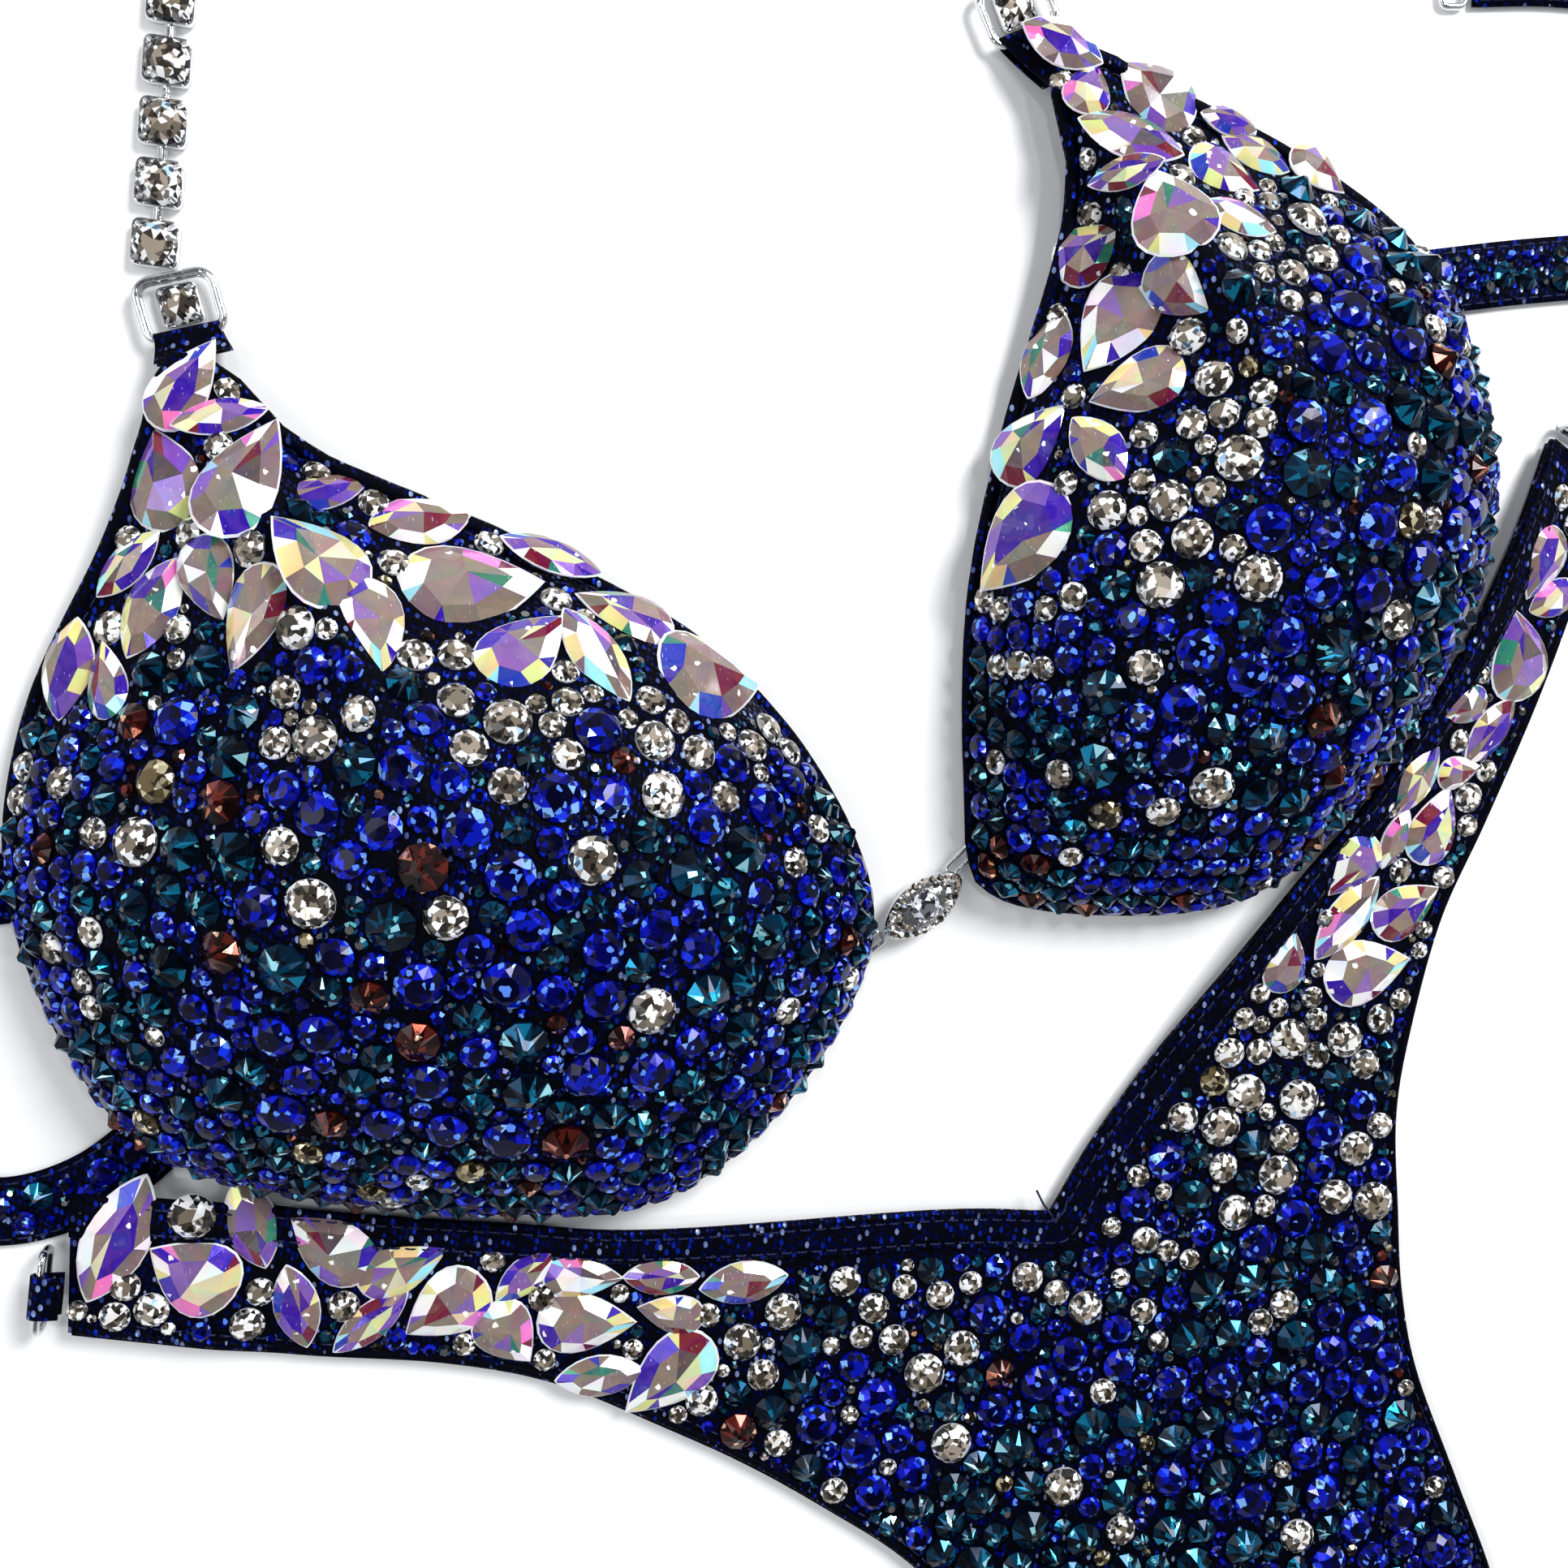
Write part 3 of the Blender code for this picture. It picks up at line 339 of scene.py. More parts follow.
def cup_share_at(cup, x, y, inset):
    """The (share, angle) of the dome above a place on the table."""
    out = np.array([x, y]) - np.array(cup["centre"])
    angle = math.degrees(math.atan2(out[1], out[0]))
    return min(0.97, math.hypot(*out) / float(rim_reach(cup, angle, inset))), angle


EDGES = {(edge, side): smooth_line(table[side], 200)
         for edge, table in (("waist", WAIST), ("leg", LEG)) for side in ("left", "right")}


def briefs_edge(edge, share, side):
    """A point along one half of a waist or leg outline."""
    place = min(199.0, share * 199)
    low = min(198, int(place))
    line = EDGES[edge, side]
    x, y = line[low] + (line[low + 1] - line[low]) * (place - low)
    return np.array([-x if side == "left" else x, y])


def briefs_line(u):
    """The waist point and the leg or crotch point of one cross line; u runs from -1 to 1."""
    side = "left" if u < 0 else "right"
    waist = briefs_edge("waist", abs(u) ** WAIST_PACE, side)
    if abs(u) < CROTCH_SHARE:
        leg = np.array([CROTCH_HALF * u / CROTCH_SHARE, CROTCH_Y])
    else:
        leg = briefs_edge("leg", (abs(u) - CROTCH_SHARE) / (1 - CROTCH_SHARE), side)
    return waist, leg


def smooth_step(share):
    share = min(1.0, max(0.0, share))
    return share * share * (3 - 2 * share)


def arm_lift(x, y):
    """How far an arm rises: the left one over its strap, the right one against the right cup's flank."""
    if x < STRAP_LIFT_FROM:
        return STRAP_LIFT * smooth_step((STRAP_LIFT_FROM - x) / (STRAP_LIFT_FROM - STRAP_LIFT_TO))
    cup = CUPS["right"]
    out = (x - cup["centre"][0], y - cup["centre"][1])
    share = math.hypot(*out) / float(rim_reach(cup, math.degrees(math.atan2(out[1], out[0]))))
    return FLANK_LIFT * smooth_step((FLANK_LIFT_FROM - share) / (FLANK_LIFT_FROM - 1))


def turned(x, y):
    """A place of the briefs, about the waist notch, as a place on the table."""
    return np.array(NOTCH) + x * way(BRIEFS_TURN) + y * way_left(BRIEFS_TURN)


def briefs_point(u, inset, low, far=False):
    """A point that far in from the waist edge, or from the leg edge, along cross line u."""
    waist, leg = briefs_line(u)
    along = unit(leg - waist)
    x, y = turned(*(leg - along * inset if far else waist + along * inset))
    return np.array([x, y, low + arm_lift(x, y)])


def world_rows(rows):
    """Points in millimetres on the table as world metres."""
    rows = np.array(rows, float)
    rows[..., :2] -= CENTRE
    return rows * MM


# Pieces, and how they are built.

SAME_POINT = 0.003
SHARP_ANGLE = math.radians(50)


def add_piece(name, mesh, material, body, node=None, thickness=0.0):
    """Puts a mesh into the scene on its body. Node is the CAD solid that it stands for."""
    mesh.materials.append(MATERIALS[material])
    piece = bpy.data.objects.new(name, mesh)
    bpy.context.scene.collection.objects.link(piece)
    if thickness:
        shell = piece.modifiers.new("Thickness", "SOLIDIFY")
        shell.thickness = thickness * MM
        shell.offset = -1
    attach(piece, body)
    if node:
        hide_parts(node)
    return piece


class Form:
    """Points and faces gathered into one smooth mesh, in millimetres on the table."""

    def __init__(self):
        self.points = []
        self.faces = []
        self.count = 0

    def add(self, points, faces):
        self.points.append(np.asarray(points, float))
        self.faces += [[self.count + corner for corner in face] for face in faces]
        self.count += len(points)

    def grid(self, rows, wrap=False):
        """A sheet of faces over rows[i, j]; wrap joins the last column to the first."""
        across, along = rows.shape[:2]
        last = along if wrap else along - 1
        faces = []
        for i in range(across - 1):
            for j in range(last):
                after = (j + 1) % along
                faces.append((i * along + j, i * along + after, (i + 1) * along + after, (i + 1) * along + j))
        self.add(rows.reshape(-1, 3), faces)

    def solid(self, rows):
        """Faces round each row and on to the next, with a cap on the first row and the last."""
        first = self.count
        self.grid(rows, wrap=True)
        around = rows.shape[1]
        last = self.count - around
        self.faces.append(list(range(first, first + around))[::-1])
        self.faces.append(list(range(last, last + around)))

    def tube(self, path, radius, sides=8, closed=False, flat=1.0):
        """A round or flattened bar along a path."""
        path = np.asarray(path, float)
        if closed:
            heading = np.roll(path, -1, axis=0) - np.roll(path, 1, axis=0)
        else:
            heading = np.gradient(path, axis=0)
        heading = unit(heading)
        aside = np.cross(heading, UP)
        aside[np.linalg.norm(aside, axis=1) < 0.05] = (1.0, 0.0, 0.0)
        aside = unit(aside)
        above = np.cross(aside, heading)
        radius = np.broadcast_to(np.asarray(radius, float), (len(path),))[:, None]
        rings = []
        for side in range(sides):
            turn = -math.tau * side / sides
            rings.append(path + radius * (aside * math.cos(turn) + above * flat * math.sin(turn)))
        rows = np.stack(rings, axis=1)
        if closed:
            self.grid(np.concatenate([rows, rows[:1]]), wrap=True)
        else:
            self.solid(rows)

    def mesh(self, name):
        mesh = bpy.data.meshes.new(name)
        mesh.from_pydata(world_rows(np.vstack(self.points)).tolist(), [], self.faces)
        return mesh

    def build(self, name, material, body, node=None, thickness=0.0):
        """The finished piece. A single layer, which has a thickness, is turned to face up."""
        mesh = self.mesh(name)
        bm = bmesh.new()
        bm.from_mesh(mesh)
        bmesh.ops.remove_doubles(bm, verts=bm.verts, dist=SAME_POINT * MM)
        bmesh.ops.recalc_face_normals(bm, faces=bm.faces)
        if thickness and sum(face.normal.z * face.calc_area() for face in bm.faces) < 0:
            bmesh.ops.reverse_faces(bm, faces=bm.faces)
        bm.to_mesh(mesh)
        bm.free()
        mesh.shade_smooth()
        mesh.set_sharp_from_angle(angle=SHARP_ANGLE)
        return add_piece(name, mesh, material, body, node, thickness=thickness)


def build_sheet(rows, name, material, body, node, thickness=0.0, wrap=False):
    """A piece that is one grid of points."""
    form = Form()
    form.grid(rows, wrap)
    return form.build(name, material, body, node, thickness)


# Stones. A template is unit-radius points and its facets; each facet is (kind of facet, corners).


def ring_points(count, radius, high, start=0.0):
    turns = math.tau * (np.arange(count) + start) / count
    return np.stack([radius * np.cos(turns), radius * np.sin(turns), np.full(count, high)], axis=1)


def side_and_base(count):
    """The walls between ring 0 and ring 1 of a template, and the flat back."""
    walls = [("side", (i, (i + 1) % count, count + (i + 1) % count, count + i)) for i in range(count)]
    return walls + [("base", tuple(range(count))[::-1])]


def brilliant_template():
    """A flatback with a full crown: girdle facets, kites, stars and a table cut into a fan."""
    points = [ring_points(16, 1.0, 0.0), ring_points(16, 1.0, 0.17), ring_points(8, 0.79, 0.42, 0.5),
              ring_points(8, 0.55, 0.56), np.array([[0.06, -0.04, 0.575]])]
    girdle, middle, table, centre = 16, 32, 40, 48
    facets = side_and_base(16)
    for i in range(8):
        after, before = (i + 1) % 8, (i - 1) % 8
        first, second, third = girdle + 2 * i, girdle + 2 * i + 1, girdle + (2 * i + 2) % 16
        facets.append(("girdle", (first, second, middle + i)))
        facets.append(("girdle", (second, third, middle + i)))
        facets.append(("kite", (first, middle + i, table + i, middle + before)))
        facets.append(("star", (table + i, middle + i, table + after)))
        facets.append(("table", (table + i, table + after, centre)))
    return np.vstack(points), facets


def chaton_template():
    """A finer cut for clear stones: narrow facets all round, and a table cut into a fan."""
    points = [ring_points(16, 1.0, 0.0), ring_points(16, 1.0, 0.16), ring_points(16, 0.82, 0.36, 0.5),
              ring_points(8, 0.54, 0.56, 0.25), np.array([[0.05, -0.04, 0.58]])]
    facets = side_and_base(16)
    for i in range(16):
        after = (i + 1) % 16
        facets.append(("girdle", (16 + i, 16 + after, 32 + i)))
        facets.append(("girdle", (16 + after, 32 + after, 32 + i)))
    for i in range(8):
        first, second, third = 32 + 2 * i, 33 + 2 * i, 32 + (2 * i + 2) % 16
        facets.append(("kite", (first, second, 48 + i)))
        facets.append(("star", (second, third, 48 + (i + 1) % 8, 48 + i)))
        facets.append(("table", (48 + i, 48 + (i + 1) % 8, 56)))
    return np.vstack(points), facets


def small_template():
    """A small flatback: one row of crown facets and a table."""
    points = [ring_points(8, 1.0, 0.0), ring_points(8, 1.0, 0.2), ring_points(8, 0.56, 0.6)]
    facets = side_and_base(8)
    facets += [("kite", (8 + i, 8 + (i + 1) % 8, 16 + (i + 1) % 8, 16 + i)) for i in range(8)]
    facets.append(("table", tuple(range(16, 24))))
    return np.vstack(points), facets


def bead_template():
    """A tiny flatback: a cut cone."""
    points = np.vstack([ring_points(7, 1.0, 0.0), ring_points(7, 0.5, 0.65)])
    facets = [("kite", (i, (i + 1) % 7, 7 + (i + 1) % 7, 7 + i)) for i in range(7)]
    return points, facets + [("base", tuple(range(7))[::-1]), ("table", tuple(range(7, 14)))]


def spike_template():
    """A pointed stone: tapering wedges up to a small flat top, in the outline of a star."""
    points = [ring_points(10, 1.0, 0.0), ring_points(10, 1.0, 0.18), ring_points(10, 0.44, 0.58, 0.5),
              ring_points(5, 0.15, 0.86)]
    facets = side_and_base(10)
    for i in range(10):
        facets.append(("girdle", (10 + i, 10 + (i + 1) % 10, 20 + i)))
    for i in range(5):
        left, centre, right = 20 + (2 * i - 1) % 10, 30 + i, 20 + 2 * i
        facets.append(("kite", (10 + 2 * i, right, centre, left)))
        facets.append(("star", (right, 10 + (2 * i + 1) % 10, 20 + (2 * i + 1) % 10)))
        facets.append(("star", (right, 20 + (2 * i + 1) % 10, 30 + (i + 1) % 5, centre)))
    facets.append(("table", tuple(range(30, 35))))
    return np.vstack(points), facets


def fancy_outline(shape, length, width):
    """A pear with its tip at +X, or a navette with two tips."""
    turn = math.tau * np.arange(24) / 24
    along = length / 2 * np.cos(turn)
    if shape == "pear":
        across = width / 2 * np.sin(turn) * np.abs(np.sin(turn / 2)) / 0.77
    else:
        across = width / 2 * np.sin(turn) * np.abs(np.sin(turn)) ** 0.7
    return np.stack([along, across], axis=1)


def fancy_template(shape, length, width):
    """A large foiled stone: wide crown facets round a low fan of facets seen through its top."""
    outline = fancy_outline(shape, length, width)
    tall = 0.9 + 0.11 * width
    middle = np.array([-0.09 * length if shape == "pear" else 0.0, 0.0])
    inner = (outline[::3] - middle) * 0.60 + middle
    points = [
        np.column_stack([outline * 0.97, np.zeros(24)]),
        np.column_stack([outline, np.full(24, 0.28)]),
        np.column_stack([outline * 0.955, np.full(24, 0.5)]),
        np.column_stack([inner, np.full(8, 0.86 * tall)]),
        np.array([[middle[0] + 0.05 * length, 0.08 * width, tall]]),
    ]
    facets = side_and_base(24)
    facets += [("rim", (24 + i, 24 + (i + 1) % 24, 48 + (i + 1) % 24, 48 + i)) for i in range(24)]
    for i in range(8):
        corners = [48 + (3 * i + step) % 24 for step in range(4)]
        facets.append(("girdle", (corners[0], corners[1], 72 + i)))
        facets.append(("crown", (*corners[1:], 72 + (i + 1) % 8, 72 + i)))
        facets.append(("fan", (72 + i, 72 + (i + 1) % 8, 80)))
    return np.vstack(points), facets


TEMPLATES = {"brilliant": brilliant_template(), "small": small_template(), "spike": spike_template(),
             "bead": bead_template(), "chaton": chaton_template()}


def pick(family, part, draw):
    """A colour for that part of a stone."""
    choices = FACETS.get(f"{family}_{part}", FACETS[family])
    chance = draw.random()
    for share, *colour in choices:
        chance -= share
        if chance < 0:
            return colour
    return choices[-1][1:]


def facet_colours(family, facets, draw):
    """A colour for each facet of one stone; its table's fan keeps to a few colours."""
    body = pick(family, "table", draw)
    colours = []
    for kind, _ in facets:
        if kind in ("base", "side", "rim"):
            colour = FOIL_EDGE if family in ("aurora", "clear") else FACETS[family][1][1:]
        elif kind in ("table", "fan"):
            if draw.random() > 0.5:
                body = pick(family, "table", draw)
            colour = body
        else:
            colour = pick(family, "rim" if kind == "girdle" else "crown", draw)
        colours.append(colour)
    return colours


def stone_ahead(out, spin):
    """The way that a stone's own X points, once it faces out and is spun that far."""
    return unit(np.cross(out, np.array([math.sin(spin), -math.cos(spin), 0.02])))


class Heap(Form):
    """Stones gathered into one mesh, with a colour at every facet's corners."""

    def __init__(self):
        super().__init__()
        self.colours = []

    def add_stone(self, template, size, tall, place, out, spin, family, draw):
        """One stone: template points scaled, spun about its own axis and stood on place, facing out."""
        points, facets = template
        ahead = stone_ahead(out, spin)
        aside = np.cross(out, ahead)
        scaled = points * np.array([size, size, tall])
        rows = place + scaled[:, :1] * ahead + scaled[:, 1:2] * aside + scaled[:, 2:] * out
        self.add(rows, [corners for _, corners in facets])
        self.colours += facet_colours(family, facets, draw)

    def build(self, name, material, body, node=None, slot=None, drift=0.0):
        """The finished piece. Drift varies the colour from one corner of a facet to the next."""
        mesh = self.mesh(name)
        corners = np.repeat(np.array(self.colours, float), [len(face) for face in self.faces], axis=0)
        waver = np.random.default_rng(5).uniform(1 - drift, 1 + drift, corners.shape)
        rows = np.column_stack([np.clip(corners * waver, 0, 1), np.ones(len(corners))])
        layer = mesh.color_attributes.new("gem", "FLOAT_COLOR", "CORNER")
        layer.data.foreach_set("color", rows.astype(np.float32).ravel())
        return add_piece(name, mesh, material, body, node)


# Where the stones go.

# Radii from the largest down, each with how often it is tried, and the tries at an amount of 1.
STONE_SIZES = ((3.6, 0.02), (3.2, 0.06), (2.75, 0.32), (2.4, 0.65), (2.05, 1.0), (1.6, 1.1), (1.15, 1.4),
               (0.8, 1.0))
CUP_TRIES = 6500
BRIEFS_TRIES = 9000
STONE_GAP = 0.06
MOST_STONES = 8000
# How far the large stones turn up from the fabric's own slope, and stand off it.
FANCY_LIFT = 0.3
FANCY_GAP = 0.12
STONE_KINDS = ("sapphire", "teal", "copper", "gold", "clear")
CUTS = {"sapphire": "brilliant", "teal": "spike", "copper": "spike", "gold": "brilliant",
        "clear": "chaton"}
# The radii below which a stone is a bead, or has the small cut, or is less often clear.
BEAD_RADIUS = 1.0
SMALL_RADIUS = 1.5
SELDOM_CLEAR_RADIUS = 1.2
# Chances, added up, for the stones that aren't clear. Gold takes the rest.
KIND_CHANCES = (("sapphire", 0.52), ("teal", 0.94), ("copper", 0.98))
# How likely a stone is clear, up to each distance from the large stones.
CLEAR_NEAR = {
    "cup": ((2, 0.3), (6, 0.34), (16, 0.3), (28, 0.17), (44, 0.08), (400, 0.03)),
    "briefs": ((4, 0.9), (12, 0.68), (26, 0.46), (44, 0.27), (60, 0.12), (400, 0.04)),
}
# The circles that cover a large stone: how far along it, and how wide as a share of its width.
FANCY_ROOM = {
    "pear": ((-0.16, 1.0), (0.08, 0.8), (0.25, 0.52), (0.38, 0.25)),
    "navette": ((-0.42, 0.28), (-0.3, 0.62), (-0.15, 0.88), (0.0, 0.95), (0.15, 0.88), (0.3, 0.62),
                (0.42, 0.28)),
}


class Packing:
    """Places already taken, so that new stones keep clear of them."""

    def __init__(self):
        self.spots = np.zeros((MOST_STONES, 3))
        self.radii = np.zeros(MOST_STONES)
        self.count = 0

    def clearance(self, spot):
        if not self.count:
            return 1000.0
        apart = np.linalg.norm(self.spots[: self.count] - spot, axis=1)
        return float((apart - self.radii[: self.count]).min())

    def put(self, spot, radius):
        self.spots[self.count] = spot
        self.radii[self.count] = radius
        self.count += 1


def stone_kind(garment, to_fancy, radius, draw):
    """Clear stones gather round the large ones; the rest are mostly sapphire and teal."""
    clear = next(share for reach, share in CLEAR_NEAR[garment] if to_fancy < reach)
    if radius < SELDOM_CLEAR_RADIUS:
        clear *= 0.3
    chance = draw.random()
    if chance < clear:
        return "clear"
    chance = (chance - clear) / (1 - clear)
    for kind, share in KIND_CHANCES:
        if chance < share:
            return kind
    return "gold"


def add_fancy(group, surface, packing, body, node):
    """The large stones of a group, each lying on the surface, and the circles that they take up."""
    heap = Heap()
    draw = random.Random(11)
    spots = []
    for shape, x, y, length, width, turn in FANCY[group]:
        on_cloth, out = surface(x, y)
        out = unit(out + np.array([0.0, 0.0, FANCY_LIFT]))
        place = np.array([x, y, on_cloth[2]])
        turn = math.radians(turn)
        template = fancy_template(shape, length, width)
        heap.add_stone(template, 1.0, 1.0, place + FANCY_GAP * out, out, turn, "aurora", draw)
        ahead = stone_ahead(out, turn)
        for step, share in FANCY_ROOM[shape]:
            spot = place + ahead * length * step
            packing.put(spot, width / 2 * share)
            spots.append((*spot, width / 2 * share))
    heap.build(f"{group}_large_stones", "aurora_crystal", body, node, drift=0.22)
    return np.array(spots)


class Stones:
    """The round stones of one surface, one heap for each colour."""

    def __init__(self, packing, fancy, seed, garment="cup"):
        self.packing = packing
        self.fancy = fancy
        self.garment = garment
        self.draw = random.Random(seed)
        self.heaps = {kind: Heap() for kind in STONE_KINDS}

    def offer(self, place, out, radius, allowed=STONE_KINDS):
        """A stone goes in where it has room."""
        if self.packing.clearance(place) < radius + STONE_GAP:
            return
        self.packing.put(place, radius)
        kind = stone_kind(self.garment, self.to_fancy(place), radius, self.draw)
        if kind not in allowed:
            kind = allowed[0]
        lean = np.array([self.draw.gauss(0, 0.05), self.draw.gauss(0, 0.05), 0.0])
        cut = "bead" if radius < BEAD_RADIUS else "small" if radius < SMALL_RADIUS else CUTS[kind]
        tall = radius * self.draw.uniform(0.92, 1.06)
        spin = self.draw.uniform(0, math.tau)
        self.add(cut, radius, tall, place, unit(out + lean), spin, kind)

    def lay(self, place, out, radius):
        """A clear stone at a given place."""
        self.packing.put(place, radius)
        self.add("chaton", radius, radius, place, out, self.draw.uniform(0, math.tau), "clear")

    def add(self, cut, radius, tall, place, out, spin, kind):
        self.heaps[kind].add_stone(TEMPLATES[cut], radius, tall, place, out, spin, kind, self.draw)

    def to_fancy(self, place):
        """How far a place is from the nearest large stone's edge."""
        if not len(self.fancy):
            return 100.0
        return float((np.linalg.norm(self.fancy[:, :3] - place, axis=1) - self.fancy[:, 3]).min())

    def build(self, name, body, node=None):
        for kind, heap in self.heaps.items():
            if heap.count:
                heap.build(f"{name}_{kind}_stones", f"{kind}_crystal", body, node)


def depth_table(cup):
    """Distance along the dome from its rim, for every turn and share of the tables."""
    if "depth" not in cup:
        rows = cup_point(cup, TABLE_SHARES[None], TABLE_TURNS[:, None], FABRIC_INSET)
        steps = np.linalg.norm(np.diff(rows, axis=1), axis=2)
        depth = np.zeros(rows.shape[:2])
        depth[:, :-1] = np.cumsum(steps[:, ::-1], axis=1)[:, ::-1]
        cup["depth"] = depth
    return cup["depth"]


def cup_depth(cup, share, angle):
    row = depth_table(cup)[round(angle / TABLE_STEP) % len(TABLE_TURNS)]
    return float(np.interp(share, TABLE_SHARES, row))


def share_at_depth(cup, wanted, angle):
    row = depth_table(cup)[round(angle / TABLE_STEP) % len(TABLE_TURNS)]
    return float(np.interp(-wanted, -row, TABLE_SHARES))


# The stretch of each cup's edge where the fabric shows beside the stones: from and to, in degrees, how
# wide it shows there and elsewhere, and how many degrees it takes to widen.
BARE_EDGE = {"left": (2.0, 165.0), "right": (52.0, 196.0)}
BARE_WIDTH = 3.0
LEAST_MARGIN = 0.3
BARE_FADE = 14.0


def edge_margin(side, angle):
    """How wide the fabric shows between a cup's hem and its stones."""
    low, high = BARE_EDGE[side]
    if (angle - low) % 360 > high - low:
        return LEAST_MARGIN
    inside = min((angle - low) % 360, (high - angle) % 360)
    return LEAST_MARGIN + BARE_WIDTH * min(1.0, inside / BARE_FADE)


# The rows along a cup's lower edge: radius of their stones, depth of the first, and pace between rows.
ROW_RADII = (2.35, 2.1, 2.4, 2.0, 2.35)
FIRST_ROW = 2.4
ROW_PACE = 4.75
CUP_SEEDS = {"left": 21, "right": 22}


def cup_stones(side):
    """Rows of stones up the lower flank, then the large stones' neighbours and a scatter in between."""
    cup, body = CUPS[side], f"{side}_cup"

    def surface_at(share, angle):
        return cup_point(cup, share, angle, FABRIC_INSET), cup_normal(cup, share, angle, FABRIC_INSET)

    def surface(x, y):
        return surface_at(*cup_share_at(cup, x, y, FABRIC_INSET))

    packing = Packing()
    spots = add_fancy(body, surface, packing, body, f"{side}_cup_statement_crystals")
    stones = Stones(packing, spots, CUP_SEEDS[side])
    for x, y, radius in CLEAR_BETWEEN[body]:
        stones.lay(*surface(x, y), radius)
    for row, radius in enumerate(ROW_RADII):
        for step in range(1440):
            angle = step * 0.25 + row * 1.3
            if edge_margin(side, angle % 360) < 0.5:
                depth = FIRST_ROW + row * ROW_PACE + 0.35 * math.sin(angle * 0.3)
                stones.offer(*surface_at(share_at_depth(cup, depth, angle), angle), radius)
    for radius, amount in STONE_SIZES:
        for _ in range(round(CUP_TRIES * amount)):
            share = math.sqrt(stones.draw.uniform(0.0005, 0.995))
            angle = stones.draw.uniform(0, 360)
            if cup_depth(cup, share, angle) > edge_margin(side, angle) + radius:
                stones.offer(*surface_at(share, angle), radius)
    stones.build(body, body, f"{side}_cup_crystal_field")


# The front's upper face, its margins beside the casing and the legs, and where the arms begin along u.
FRONT_Z = 2.95
WAIST_MARGIN = CASING_WIDTH + 1.2
LEG_MARGIN = 0.8
ARM_FROM = 0.66
# On the arms only stones up to this radius are scattered, and only this near to the large stones.
ARM_RADIUS = 2.8
ARM_REACH = 4.0
# The evenly spread places: cross lines, and how far apart in mm.
CANDIDATE_LINES = 720
CANDIDATE_CELL = 0.7


def briefs_surface(x, y):
    lift = arm_lift(x, y)
    slope = np.array([arm_lift(x + 1, y) - lift, arm_lift(x, y + 1) - lift])
    return np.array([x, y, FRONT_Z + lift]), unit(np.array([-slope[0], -slope[1], 1.0]))


def briefs_candidates():
    """Evenly spread places on the briefs with each one's cross line."""
    rows = []
    for u in np.linspace(-0.985, 0.985, CANDIDATE_LINES):
        waist, leg = briefs_line(u)
        count = max(2, int(np.linalg.norm(leg - waist)))
        for step in range(count):
            rows.append((*turned(*(waist + (leg - waist) * (step + 0.5) / count)), u))
    rows = np.array(rows)
    cells = np.round(rows[:, :2] / CANDIDATE_CELL).astype(int)
    _, kept = np.unique(cells, axis=0, return_index=True)
    return rows[kept]


def briefs_outlines():
    """The waist edge and the two leg edges on the table."""
    spread = np.linspace(-1, 1, 401)
    waist = np.array([turned(*briefs_line(u)[0]) for u in spread])
    leg = np.array([turned(*briefs_line(u)[1]) for u in spread if abs(u) >= CROTCH_SHARE])
    return waist, leg


def briefs_stones():
    """Round stones over the front, and the large stones on both arms with small ones between them."""
    packing = Packing()
    spots = [add_fancy(f"{side}_arm", briefs_surface, packing, "briefs", f"{side}_arm_crystals")
             for side in ("left", "right")]
    stones = Stones(packing, np.vstack(spots), 31, "briefs")
    draw = stones.draw
    for group in ("left_arm", "right_arm", "notch"):
        for x, y, radius in CLEAR_BETWEEN[group]:
            stones.lay(*briefs_surface(x, y), radius)
    rows = briefs_candidates()
    to_waist, to_leg = (np.linalg.norm(rows[:, None, :2] - edge[None], axis=2).min(axis=1)
                        for edge in briefs_outlines())
    for radius, amount in STONE_SIZES:
        allowed = np.flatnonzero((to_waist > WAIST_MARGIN + radius) & (to_leg > LEG_MARGIN + radius))
        for index in draw.choices(allowed.tolist(), k=round(BRIEFS_TRIES * amount)):
            x, y, u = rows[index]
            on_arm = abs(u) > ARM_FROM
            if on_arm and radius > ARM_RADIUS:
                continue
            place, out = briefs_surface(x + draw.uniform(-0.35, 0.35), y + draw.uniform(-0.35, 0.35))
            if on_arm and stones.to_fancy(place) > ARM_REACH:
                continue
            stones.offer(place, out, radius)
    stones.build("briefs", "briefs", "briefs_crystal_field")


# The loose scatter on a back strap: radius and tries, the most stones, and their height.
STRAP_SIZES = ((2.35, 60), (1.9, 120), (1.4, 400), (0.95, 700))
MOST_STRAP_STONES = 90
STRAP_TOP = 1.45


def strap_stones(side):
    """A loose scatter of dark stones along the back strap."""
    line = smooth_line(STRAPS[side], 400)
    heading = unit(np.gradient(line, axis=0))
    stones = Stones(Packing(), np.zeros((0, 4)), 41)
    for radius, count in STRAP_SIZES:
        for _ in range(count):
            index = stones.draw.randrange(12, 372)
            across = stones.draw.uniform(-1, 1) * (STRAP_WIDTH / 2 - 1.2 - radius)
            x = line[index, 0] - heading[index, 1] * across
            y = line[index, 1] + heading[index, 0] * across
            if stones.packing.count < MOST_STRAP_STONES:
                stones.offer(np.array([x, y, STRAP_TOP]), UP, radius, ("sapphire", "teal"))
    stones.build(f"{side}_strap", f"{side}_cup")


# Fabric, thread and metal.


